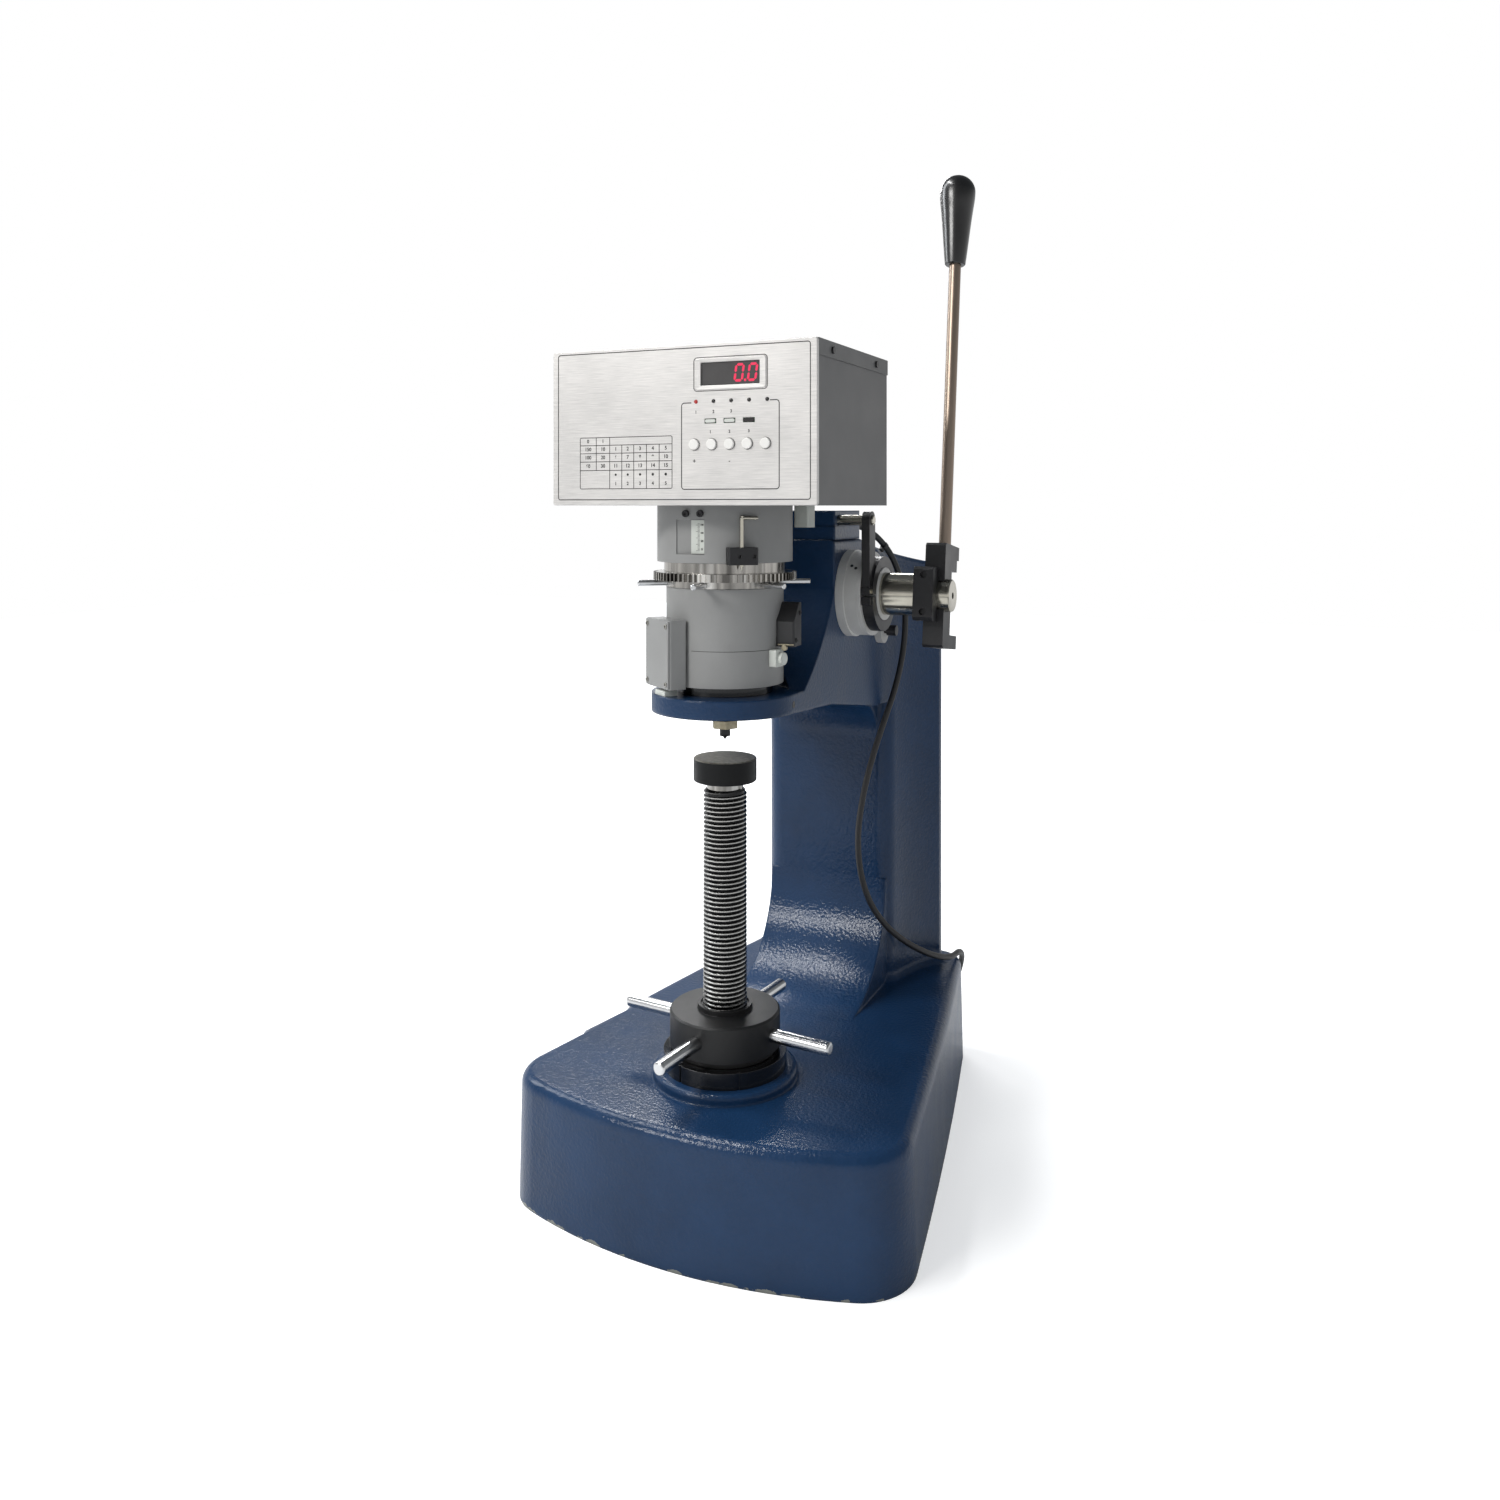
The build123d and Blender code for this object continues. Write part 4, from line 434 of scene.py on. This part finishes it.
def joined(parts):
    """Vertices and faces of several (verts, faces) pairs, as one."""
    verts, faces = [], []
    for v, f in parts:
        base = len(verts)
        verts += v
        faces += [tuple(base + i for i in face) for face in f]
    return verts, faces


def lathe(profile, segments=96):
    """Closed profile of (radius, z) points turned round Z."""
    verts, faces = [], []
    rings = len(profile)
    for k in range(segments):
        a = 2 * math.pi * k / segments
        verts += [(r * math.cos(a), r * math.sin(a), z) for r, z in profile]
    for k in range(segments):
        n0, n1 = k * rings, (k + 1) % segments * rings
        for i in range(rings - 1):
            faces.append((n0 + i, n1 + i, n1 + i + 1, n0 + i + 1))
    return verts, faces


def box(x0, x1, y0, y1, z0, z1):
    """Block between the given limits."""
    v = [(x, y, z) for x in (x0, x1) for y in (y0, y1) for z in (z0, z1)]
    return v, [(0, 1, 3, 2), (4, 6, 7, 5), (0, 4, 5, 1), (2, 3, 7, 6), (0, 2, 6, 4), (1, 5, 7, 3)]


def moved(part, matrix):
    """The part with the matrix applied to its points."""
    v, f = part
    return [tuple(matrix @ Vector(p)) for p in v], f


def in_metres(part):
    """The part's points in metres instead of millimetres."""
    v, f = part
    return [tuple(c * MM for c in p) for p in v], f


def strips(n, bands):
    """Faces between each ring of n points and the next one."""
    return [(k * n + i, (k + 1) * n + i, (k + 1) * n + (i + 1) % n, k * n + (i + 1) % n)
            for k in range(bands) for i in range(n)]


def rim_points(x0, x1, z0, z1, r, steps=8):
    """Corner-rounded rectangle in the XZ plane, counter-clockwise seen from the front."""
    out = []
    for cx, cz, a0 in ((x1 - r, z1 - r, 0), (x0 + r, z1 - r, 90), (x0 + r, z0 + r, 180), (x1 - r, z0 + r, 270)):
        for s in range(steps + 1):
            a = math.radians(a0 + 90 * s / steps)
            out.append((cx + r * math.cos(a), cz + r * math.sin(a)))
    return out


def rim_band(x0, x1, z0, z1, r, width, front, back):
    """Raised rounded frame of the given width, facing -Y."""
    outer = rim_points(x0, x1, z0, z1, r)
    inner = rim_points(x0 + width, x1 - width, z0 + width, z1 - width, max(r - width, 0.05))
    n = len(outer)
    verts = [(x, front, z) for x, z in outer] + [(x, front, z) for x, z in inner]
    verts += [(x, back, z) for x, z in outer] + [(x, back, z) for x, z in inner]
    faces = []
    for i in range(n):
        j = (i + 1) % n
        faces.append((i, i + n, j + n, j))
        faces.append((i, j, j + 2 * n, i + 2 * n))
        faces.append((i + n, i + 3 * n, j + 3 * n, j + n))
    return verts, faces


def ride(o, body, *replaced, slot):
    """Put a piece on a body, in place of the nodes named; slot is not used."""
    if replaced:
        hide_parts(*replaced)
    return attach(o, body)


# ---- elevating screw with its thread --------------------------------------------------
CREST, ROOT, PITCH = 19.65, 17.75, 4.0
SCREW_LOW, SCREW_HIGH = 112.2, 368.6
THREAD_START = 1.6                  # height of the thread's first mark above the screw's lower end
KEYWAY_HALF, KEYWAY_DEPTH = 10.5, 0.45      # half angle in degrees, and depth under the root
CORE_DEPTH = 0.6                    # the core lies this far under the root, so that the keyway is open


def screw_thread():
    """Helical thread on its core, with a keyway at +Y that the guide key runs in."""
    segments = 72
    turns = int((SCREW_HIGH - SCREW_LOW) / PITCH) - 1
    marks = [(0.0, ROOT), (0.12, ROOT), (0.42, CREST), (0.62, CREST), (0.92, ROOT)]
    verts, faces = [], []
    steps = turns * segments
    for k in range(steps + 1):
        a = 2 * math.pi * k / segments
        fade = min(1.0, k / (segments * 0.5), (steps - k) / (segments * 0.5))
        keyway = abs(math.degrees(a) % 360 - 90) < KEYWAY_HALF
        base = SCREW_LOW + THREAD_START + PITCH * k / segments
        for part, mark in marks:
            r = ROOT - KEYWAY_DEPTH if keyway else ROOT + (mark - ROOT) * fade
            verts.append((r * math.cos(a), r * math.sin(a), base + part * PITCH))
    m = len(marks)
    for k in range(steps):
        for i in range(m - 1):
            a, b = k * m + i, (k + 1) * m + i
            faces.append((a, b, b + 1, a + 1))
        if k + segments < steps:
            a, b = k * m + m - 1, (k + 1) * m + m - 1
            c, d = (k + segments) * m, (k + segments + 1) * m
            faces.append((a, b, d, c))
    low, high, inner = SCREW_LOW, SCREW_HIGH, ROOT - CORE_DEPTH
    core = lathe([(0.0, low), (CREST - 1.2, low), (CREST - 0.4, low + 0.8), (ROOT + 0.02, low + 1.7),
                  (inner, low + 2.0), (inner, high - 6.0), (ROOT + 0.4, high - 5.0), (ROOT + 0.4, high - 0.8),
                  (ROOT - 0.4, high), (0.0, high)])
    return mesh_object("elevating_screw_thread", *in_metres(joined([(verts, faces), core])), SCREW_STEEL, 35)


ride(screw_thread(), "screw", "elevating_screw", slot="machine_steel")


def return_coil():
    """Coil spring in the place of return_spring; wire is its wire's radius."""
    wire, turns, steps, sides = 1.5, 6, 288, 12
    low, high = (Vector(corner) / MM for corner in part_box("return_spring"))
    mean = (high.x - low.x) / 2 - wire
    z0, z1 = low.z + wire, high.z - wire
    verts, faces = [], []
    for k in range(steps + 1):
        a = 2 * math.pi * turns * k / steps
        z = z0 + (z1 - z0) * k / steps
        for i in range(sides):
            b = 2 * math.pi * i / sides
            r = mean + wire * math.cos(b)
            verts.append((r * math.cos(a), r * math.sin(a), z + wire * math.sin(b)))
    for k in range(steps):
        for i in range(sides):
            j = (i + 1) % sides
            faces.append((k * sides + i, k * sides + j, (k + 1) * sides + j, (k + 1) * sides + i))
    faces += [tuple(range(sides)), tuple(steps * sides + i for i in reversed(range(sides)))]
    coil = mesh_object("return_spring_coil", *in_metres((verts, faces)), PLAIN_STEEL, 60)
    ride(coil, HEAD, "return_spring", slot="machine_steel")
    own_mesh(coil)


return_coil()


# ---- panel print, display and lamps ---------------------------------------------------
FRONT = -90.0                       # the panel's face
INK = FRONT - 0.06
DIGIT_FACE = FRONT + 0.72           # behind the window's face
BUTTON_X = [14.6 + 16.1 * k for k in range(5)]
BUTTON_Z = 673.5
MARK_Z = 659.6                      # plus and minus under the buttons
LAMP_X = [x + 1.5 for x in BUTTON_X]
LAMP_Z = 709.0
OBLONG_X = [29.4 + 17.4 * k for k in range(3)]
TABLE_X = [-88.2, -73.3, -60.6, -48.9, -36.9, -24.6, -12.2]     # middles of the table's columns and rows
TABLE_Z = [678.1, 671.2, 664.1, 656.8]
TABLE_FOOT_Z, TABLE_DOT_Z = 641.6, 649.3


def panel_print():
    """The panel's border, the frame round the buttons, and the table's lines and dots."""
    w = 0.8
    parts = [rim_band(-118.8, 118.3, 627.5, 754.2, 2.5, w, INK, FRONT)]
    left, right, low, high = 2.3, 91.4, 636.0, 708.6
    parts.append(box(left, left + w, INK, FRONT, low + 3, high - 3))
    parts.append(box(right - w, right, INK, FRONT, low + 3, high - 3))
    parts.append(box(left + 3, right - 3, INK, FRONT, low, low + w))
    parts.append(box(left + 3, left + 9.5, INK, FRONT, high - w, high))
    parts.append(box(right - 8.5, right - 3, INK, FRONT, high - w, high))
    for cx, cz, a0 in ((left + 3, high - 3, 90), (right - 3, high - 3, 0), (left + 3, low + 3, 180),
                       (right - 3, low + 3, 270)):
        parts.append(arc_strip(cx, cz, 3.0, w, a0))
    xs = [-96.4, -80.0, -66.6, -54.7, -43.0, -30.7, -18.5, -6.0]
    zs = [681.6, 674.6, 667.7, 660.5, 653.1, 637.0]
    t = 0.6
    parts.append(rim_band(xs[0], xs[-1], zs[-1], zs[0], 1.5, t, INK, FRONT))
    for z in zs[1:-1]:
        parts.append(box(xs[0], xs[-1], INK, FRONT, z - t / 2, z + t / 2))
    for i, x in enumerate(xs[1:-1]):
        top = zs[0] if i < 2 else zs[1]
        foot = zs[-1] if i >= 1 else zs[-2]
        parts.append(box(x - t / 2, x + t / 2, INK, FRONT, foot, top))
    for i, x in enumerate(xs[2:-1]):
        parts.append(disc((x + xs[i + 3]) / 2, TABLE_DOT_Z, 1.0 + 0.06 * i))
    return mesh_object("panel_print", *in_metres(joined(parts)), PRINT)


def arc_strip(cx, cz, r, w, a0, steps=8):
    """Quarter ring of ink from the angle a0 on, w wide."""
    verts, faces = [], []
    for s in range(steps + 1):
        a = math.radians(a0 + 90 * s / steps)
        for q in (r, r - w):
            verts.append((cx + q * math.cos(a), INK, cz + q * math.sin(a)))
    for s in range(steps):
        faces.append((2 * s, 2 * s + 1, 2 * s + 3, 2 * s + 2))
    return verts, faces


def disc(x, z, r, y=INK, steps=20):
    """Flat dot facing -Y."""
    verts = [(x + r * math.cos(2 * math.pi * k / steps), y, z + r * math.sin(2 * math.pi * k / steps))
             for k in range(steps)]
    return verts, [tuple(range(steps))]


ride(panel_print(), HEAD, slot="panel_print")


def words(name, text, x, z, size, y=INK):
    """Printed figure with its middle at the given place."""
    curve = bpy.data.curves.new(name, "FONT")
    curve.body = text
    curve.size = size * MM
    curve.offset = 0.00012
    curve.align_x = "CENTER"
    curve.align_y = "CENTER"
    curve.materials.append(PRINT)
    o = placed(name, curve)
    o.rotation_euler = (math.radians(90), 0, 0)
    o.location = (x * MM, y * MM, z * MM)
    return ride(o, HEAD, slot="panel_print")


for r, row in enumerate(("0 1", "150 10 1 2 3 4 5", "100 20 6 7 8 9 10", "60 30 11 12 13 14 15")):
    for c, text in enumerate(row.split()):
        words(f"table_{r}_{c}", text, TABLE_X[c], TABLE_Z[r], 4.3)
for c, text in enumerate("12345"):
    words(f"table_foot_{c}", text, TABLE_X[c + 2], TABLE_FOOT_Z, 3.9)
words("plus_mark", "+", BUTTON_X[0], MARK_Z, 5.0)
words("minus_mark", "-", BUTTON_X[2], MARK_Z, 5.0)
for k, text in enumerate("123"):
    words(f"lamp_number_{k}", text, LAMP_X[k], 700.2, 3.6)
    words(f"oblong_number_{k}", text, OBLONG_X[k], 683.6, 3.4)


def bezel():
    """Raised frame round the window: a thin dark line and a pale chamfered band."""
    line = rim_band(13.8, 81.0, 717.2, 745.6, 3.4, 0.6, FRONT - 0.08, FRONT)
    o = mesh_object("bezel_line", *in_metres(line), PRINT)
    ride(o, HEAD, slot="panel_print")
    outer = rim_points(14.6, 80.2, 718.0, 744.8, 2.8)
    lip = rim_points(15.4, 79.4, 718.8, 744.0, 2.4)
    inner = rim_points(20.6, 74.2, 721.9, 741.1, 0.8)
    rings = [(outer, FRONT), (lip, FRONT - 1.0), (inner, FRONT - 0.8), (inner, FRONT + 0.9)]
    verts = [(x, y, z) for ring, y in rings for x, z in ring]
    o = mesh_object("display_bezel", *in_metres((verts, strips(len(outer), 3))), PANEL, 30)
    ride(o, HEAD, slot="panel_print")


bezel()


def digit(x, z, segments, w=6.6, h=13.0, t=2.1, slant=0.14):
    """Seven-segment figure from its lit segments, each a hexagon bar t wide."""
    mid = h / 2
    bars = {
        "top": ((0, h), (w, h)), "mid": ((0, mid), (w, mid)), "low": ((0, 0), (w, 0)),
        "ul": ((0, mid), (0, h)), "ll": ((0, 0), (0, mid)), "ur": ((w, mid), (w, h)), "lr": ((w, 0), (w, mid)),
    }
    parts = []
    for key in segments:
        (ax, az), (bx, bz) = bars[key]
        d = Vector((bx - ax, bz - az)).normalized()
        q = Vector((-d.y, d.x)) * t / 2
        a, b = Vector((ax, az)) + d * 0.3, Vector((bx, bz)) - d * 0.3
        pts = [a, a + d * t / 2 + q, b - d * t / 2 + q, b, b - d * t / 2 - q, a + d * t / 2 - q]
        parts.append(([(x + p.x + slant * p.y, DIGIT_FACE, z + p.y) for p in pts], [(0, 1, 2, 3, 4, 5)]))
    return parts


ZERO = ("top", "low", "ul", "ll", "ur", "lr")
figures = digit(51.0, 725.2, ZERO) + digit(63.0, 725.2, ZERO)
figures.append(disc(60.6, 725.4, 1.1, DIGIT_FACE))
ride(mesh_object("display_figures", *in_metres(joined(figures)), DIGIT), HEAD, slot="red_window")


def dome(x, z, r, proud):
    """Small domed lens on the panel's face."""
    profile = [(r, 0.0), (r * 0.97, proud * 0.35), (r * 0.8, proud * 0.7), (r * 0.45, proud * 0.95), (0.0, proud)]
    turn = Matrix.Translation((x, FRONT, z)) @ Matrix.Rotation(math.radians(90), 4, "X")
    return moved(lathe(profile, 24), turn)


lamps = [dome(x, LAMP_Z, 1.7, 0.75) for x in LAMP_X]
ride(mesh_object("lamp_lens_red", *in_metres(lamps[0]), LAMP_RED, 60), HEAD, slot="red_window")
ride(mesh_object("lamp_lenses_dark", *in_metres(joined(lamps[1:])), LAMP_DARK, 60), HEAD, slot="black_plastic")


def oblong(x, material, name):
    """Oblong lamp with its printed outline."""
    pts = rim_points(x - 4.7, x + 4.7, 691.3, 694.1, 1.3)
    verts = [(px, y, pz) for y in (FRONT - 0.35, FRONT) for px, pz in pts]
    faces = [tuple(range(len(pts)))] + strips(len(pts), 1)
    o = mesh_object(name, *in_metres((verts, faces)), material, 30)
    ride(o, HEAD, slot="white_plastic")
    ring = rim_band(x - 5.1, x + 5.1, 690.9, 694.5, 1.7, 0.4, INK, FRONT)
    ride(mesh_object(name + "_line", *in_metres(ring), PRINT), HEAD, slot="panel_print")


for k, material in enumerate((PALE, PALE, LAMP_DARK)):
    oblong(OBLONG_X[k], material, f"oblong_lamp_{k + 1}")


# ---- small fittings -------------------------------------------------------------------
def aimed(part, place, direction):
    """Turn a piece built along Z so that it points along the direction, at the place."""
    turn = Vector(direction).to_track_quat("Z", "Y").to_matrix().to_4x4()
    return moved(part, Matrix.Translation(place) @ turn)


def spun(part, degrees):
    """The part turned round Z."""
    return moved(part, Matrix.Rotation(math.radians(degrees), 4, "Z"))


def pan_head(r, h):
    """Domed screw head with a round socket in it."""
    return lathe([(r, 0.0), (r, h * 0.45), (r * 0.86, h * 0.85), (r * 0.5, h), (r * 0.48, h * 0.35),
                  (0.0, h * 0.35)], 24)


def ring_arc(r0, r1, z0, z1, a0, a1, steps=90):
    """Part of a flat ring round Z, from the angle a0 to a1."""
    verts, faces = [], []
    for k in range(steps + 1):
        a = math.radians(a0 + (a1 - a0) * k / steps)
        verts += [(r * math.cos(a), r * math.sin(a), z) for r, z in ((r0, z0), (r1, z0), (r1, z1), (r0, z1))]
    for k in range(steps):
        for i in range(4):
            j = (i + 1) % 4
            faces.append((4 * k + i, 4 * k + j, 4 * k + 4 + j, 4 * k + 4 + i))
    return verts, faces


def fitting(name, parts, material, slot):
    """One piece from several parts, on the head."""
    return ride(mesh_object(name, *in_metres(joined(parts)), material, 35), HEAD, slot=slot)


def plate(x0, x1, z0, z1, r, front, back):
    """Rounded plate facing -Y with a small chamfer round its face."""
    outer = rim_points(x0, x1, z0, z1, r)
    face = rim_points(x0 + 0.4, x1 - 0.4, z0 + 0.4, z1 - 0.4, max(r - 0.4, 0.1))
    n = len(outer)
    verts = [(x, front, z) for x, z in face] + [(x, front + 0.4, z) for x, z in outer]
    verts += [(x, back, z) for x, z in outer]
    return verts, [tuple(range(n))] + strips(n, 2)


SENSOR_TURN, SWITCH_TURN = -37.6, 4.0       # degrees round the spindle's axis
fitting("sensor_cover_plate", [spun(plate(-23.6, 23.6, 464.4, 523.2, 1.5, -67.3, -65.9), SENSOR_TURN)], GREY,
        "grey_paint")
fitting("sensor_plate_screws",
        [spun(aimed(pan_head(2.3, 1.3), (x, -67.3, z), (0, -1, 0)), SENSOR_TURN)
         for x in (-19.8, 19.8) for z in (468.6, 518.6)], PLAIN_STEEL, "machine_steel")
fitting("housing_parting_line",
        [ring_arc(52.6, 52.78, 496.9, 497.3, first, last) for first, last in ((-98, 0), (20, 70))],
        OXIDE, "blued_steel")
# Dark disc with a shallow recess on the flange's side: painted shade of a small screw hole.
fitting("flange_screw_hole_shade", [aimed(lathe([(3.1, 0.0), (3.0, 0.12), (1.7, 0.12), (1.6, 0.02), (0.0, 0.02)], 24),
                                    (66.0, 2.0, 447.7), (1, 0, 0))], LAMP_DARK, "blued_steel")
SHAFT_MIDDLE = Vector((0.0, 148.0, 537.0))
fitting("drum_set_screws",
        [aimed(pan_head(1.5, 0.7), SHAFT_MIDDLE + Vector((x, 0, 0)) + 40.95 * d, d)
         for x, d in ((79.0, Vector((0, -0.73, 0.683))), (83.6, Vector((0, -0.775, 0.632))))], OXIDE, "blued_steel")
fitting("anchor_clamp_screw", [aimed(pan_head(2.3, 1.6), (101.0, 108.6, 541.6), (1, 0, 0))], ZINC, "machine_steel")
fitting("switch_screws",
        [spun(aimed(pan_head(2.2, 1.3), (68.7, y, z), (1, 0, 0)), SWITCH_TURN)
         for y, z in ((-4.5, 504.5), (6.0, 528.0))],
        OXIDE, "blued_steel")
switch_roller = lathe([(2.4, 0.0), (2.6, 0.3), (2.6, 3.2), (2.4, 3.5), (0.0, 3.5)], 20)
fitting("switch_lever", [spun(plate(54.5, 69.5, 500.8, 502.0, 0.5, -13.4, -12.6), SWITCH_TURN),
                         spun(aimed(switch_roller, (60.5, -10.0, 498.6), (0, -1, 0)), SWITCH_TURN)],
        ZINC, "machine_steel")


# Thin dark ring round each button: painted shade of the gap between the button and the panel.
gap_shade_ring = lathe([(4.72, 0.0), (5.0, 0.0), (5.0, 0.1), (4.72, 0.1)], 32)
fitting("button_collars", [aimed(gap_shade_ring, (x, FRONT, BUTTON_Z), (0, -1, 0)) for x in BUTTON_X], PRINT,
        "panel_print")
SCALE_FACE = -58.08


def scale_marks():
    """Tick marks down the middle of the scale plate; every fifth one is longer."""
    parts = []
    for k in range(22):
        reach = 3.4 if k % 5 == 0 else 2.0
        z = 584.0 + 1.1 * k
        parts.append(box(3.6 - reach, 3.6, SCALE_FACE, SCALE_FACE + 0.08, z, z + 0.32))
    return parts


fitting("scale_marks", scale_marks(), PRINT, "panel_print")
for k, (text, x, size) in enumerate((("0", 5.8, 2.6), ("50", 5.8, 2.6), ("100", 5.7, 2.0), ("150", 5.7, 2.0))):
    words(f"scale_number_{k}", text, x, 585.4 + 7.0 * k, size, SCALE_FACE)


# ---- cord -----------------------------------------------------------------------------
# The points are those of power_cord and cord_coil in the solids.
ROUTE = [
    (52, 179, 604), (52, 208, 604), (66, 232, 592), (79, 254, 566), (86, 270, 524), (85, 270, 474), (79, 258, 430),
    (69, 243, 391), (59, 233, 352), (51, 229, 314), (46, 228, 276), (48, 229, 238), (58, 232, 204), (74, 244, 176),
    (92, 268, 153), (109, 299, 134), (119, 333, 122.5), (120, 368, 120), (115, 398, 101), (104, 414, 70),
    (92, 422, 38), (76, 434, 9),
]
COIL = Vector((2.0, 446.0))         # middle of the coil on the floor
LAYERS = [(39.75, 3.25), (33.25, 3.25), (33.25, 9.75), (39.75, 9.75), (39.75, 16.25)]     # radius and height


def coil_points():
    """Turns of the stored length, one layer after another, a cord's width apart."""
    out = []
    first, last, per_turn = 40, 90 + 360 * 4, 24
    steps = int((last - first) / (360 / per_turn))
    for k in range(steps + 1):
        a = first + (last - first) * k / steps
        place = (a - first) / 360
        layer = int(place)
        part = place - layer
        r, z = LAYERS[min(layer, 4)]
        r2, z2 = LAYERS[min(layer + 1, 4)]
        u = max(0.0, (part - 0.8) / 0.2)
        u = u * u * (3 - 2 * u)
        r, z = r + (r2 - r) * u, z + (z2 - z) * u
        out.append((COIL.x + r * math.cos(math.radians(a)), COIL.y + r * math.sin(math.radians(a)), z))
    return out


PLUG_Y = COIL.y + LAYERS[-1][0]
points = ROUTE + coil_points() + [(-8.0, PLUG_Y, 15.0), (-22.0, PLUG_Y, 13.2)]


def cord_curve():
    """Round lead along the points."""
    curve = bpy.data.curves.new("power_cord_line", "CURVE")
    curve.dimensions = "3D"
    spline = curve.splines.new("NURBS")
    spline.points.add(len(points) - 1)
    for p, q in zip(spline.points, points):
        p.co = (q[0] * MM, q[1] * MM, q[2] * MM, 1.0)
    spline.order_u = 3
    spline.use_endpoint_u = True
    curve.bevel_depth = 0.00322
    curve.bevel_resolution = 5
    curve.resolution_u = 8
    curve.use_fill_caps = True
    curve.materials.append(CORD_BLACK)
    return placed("power_cord_line", curve)


cord = cord_curve()
ride(cord, HEAD, "power_cord", "cord_coil", slot="cord_black")


def cord_tie():
    """Strap round the lead with its small lock, near the point where it turns down."""
    along = Vector((13, 22, -26)).normalized()
    middle = Vector((71.4, 241.2, 580.2))
    strap = lathe([(3.3, -1.6), (4.3, -1.6), (4.3, 1.6), (3.3, 1.6), (3.3, -1.6)], 32)
    lock = plate(-1.9, 1.9, -2.4, 2.4, 0.5, -6.6, -3.9)
    return [aimed(strap, middle, along), aimed(lock, middle, along)]


fitting("cord_tie", cord_tie(), BLACK_PLASTIC, "black_plastic")


# ---- set ------------------------------------------------------------------------------
FLOOR_HALF = 6.0                    # metres
FADE_FROM_TO = (0.5, 1.6)           # distance at which the floor's own light starts to rise, and is full


def stage():
    """White floor that keeps the shadow near the part and fades into the background further out."""
    m, n, l, p = new_material("floor_paper")
    p.inputs["Base Color"].default_value = (0.85, 0.85, 0.85, 1)
    p.inputs["Roughness"].default_value = 0.9
    tex = n.new("ShaderNodeTexCoord")
    reach = n.new("ShaderNodeVectorMath")
    reach.operation = "LENGTH"
    l.new(tex.outputs["Object"], reach.inputs[0])
    fade = map_range(n, l, reach.outputs["Value"], *FADE_FROM_TO, 0.5, 1.0)
    path = n.new("ShaderNodeLightPath")
    p.inputs["Emission Color"].default_value = WHITE
    l.new(calculated(n, l, "MULTIPLY", path.outputs["Is Camera Ray"], fade), p.inputs["Emission Strength"])
    f = FLOOR_HALF
    mesh_object("floor", [(-f, -f, 0), (f, -f, 0), (f, f, 0), (-f, f, 0)], [(0, 1, 2, 3)], m)


stage()


CEILING = [(0.0, WHITE), (0.12, WHITE), (0.3, (0.2, 0.21, 0.22, 1)), (0.9, (0.12, 0.13, 0.14, 1))]


def background(n, color=WHITE, strength=1.0):
    """Background node of one colour."""
    b = n.new("ShaderNodeBackground")
    b.inputs["Color"].default_value = color
    b.inputs["Strength"].default_value = strength
    return b


def chosen(n, l, factor, no, yes):
    """Shader that is no where the factor is 0, and yes where it is 1."""
    mix = n.new("ShaderNodeMixShader")
    l.new(factor, mix.inputs["Fac"])
    l.new(no, mix.inputs[1])
    l.new(yes, mix.inputs[2])
    return mix.outputs[0]


def world():
    """White to the camera and through glass, a darker ceiling in mirrors, and a soft even light otherwise."""
    w = bpy.data.worlds.new("studio")
    bpy.context.scene.world = w
    w.use_nodes = True
    n, l = w.node_tree.nodes, w.node_tree.links
    n.clear()
    path = n.new("ShaderNodeLightPath").outputs
    lit = background(n, (0.78, 0.82, 0.86, 1), 0.5)
    room = background(n)
    place = n.new("ShaderNodeTexCoord")
    l.new(ramp(n, l, axes_of(n, l, place.outputs["Generated"])["Z"], CEILING), room.inputs["Color"])
    unseen = chosen(n, l, path["Is Glossy Ray"], lit.outputs[0], room.outputs[0])
    direct = calculated(n, l, "MAXIMUM", path["Is Camera Ray"], path["Is Transmission Ray"])
    out = n.new("ShaderNodeOutputWorld")
    l.new(chosen(n, l, direct, unseen, background(n).outputs[0]), out.inputs["Surface"])


def area(name, place, target, size, size_y, power, color=(1, 1, 1)):
    """Oblong area lamp aimed at the target; metres and watts."""
    d = bpy.data.lights.new(name, "AREA")
    d.shape = "RECTANGLE"
    d.size, d.size_y = size, size_y
    d.energy = power
    d.color = color
    o = placed(name, d)
    o.location = place
    o.rotation_euler = (Vector(target) - Vector(place)).to_track_quat("-Z", "Y").to_euler()


world()
area("key", (-1.2, -2.2, 1.9), (0, 0, 0.45), 1.2, 0.5, 44, (1.0, 0.99, 0.97))
area("window_left", (-1.6, 0.2, 1.7), (0, 0.1, 0.4), 0.5, 1.4, 20, (0.94, 0.97, 1.0))
area("ceiling", (-0.75, -0.15, 2.3), (0, 0.15, 0.15), 1.2, 0.2, 22)
area("ceiling_rear", (-0.9, 1.7, 1.6), (0, 0.15, 0.15), 1.2, 0.2, 18)


PHOTO_PX, FOCAL_PX = 1500, 1230     # the photo's width and its focal length
SENSOR = 36.0
VIEW_TURN = 24.5                    # degrees from the front
VIEW_FROM = (0.476, -1.001, 0.6226)


def camera():
    """The photo's camera: level, with its picture shifted down to the part."""
    d = bpy.data.cameras.new("camera")
    d.sensor_width = SENSOR
    d.lens = SENSOR * FOCAL_PX / PHOTO_PX
    d.shift_x = 0.0033
    d.shift_y = -0.1627
    o = placed("camera", d)
    o.location = VIEW_FROM
    o.rotation_euler = (math.radians(90), 0, math.radians(VIEW_TURN))
    bpy.context.scene.camera = o


camera()
bpy.context.scene.view_settings.view_transform = "Standard"
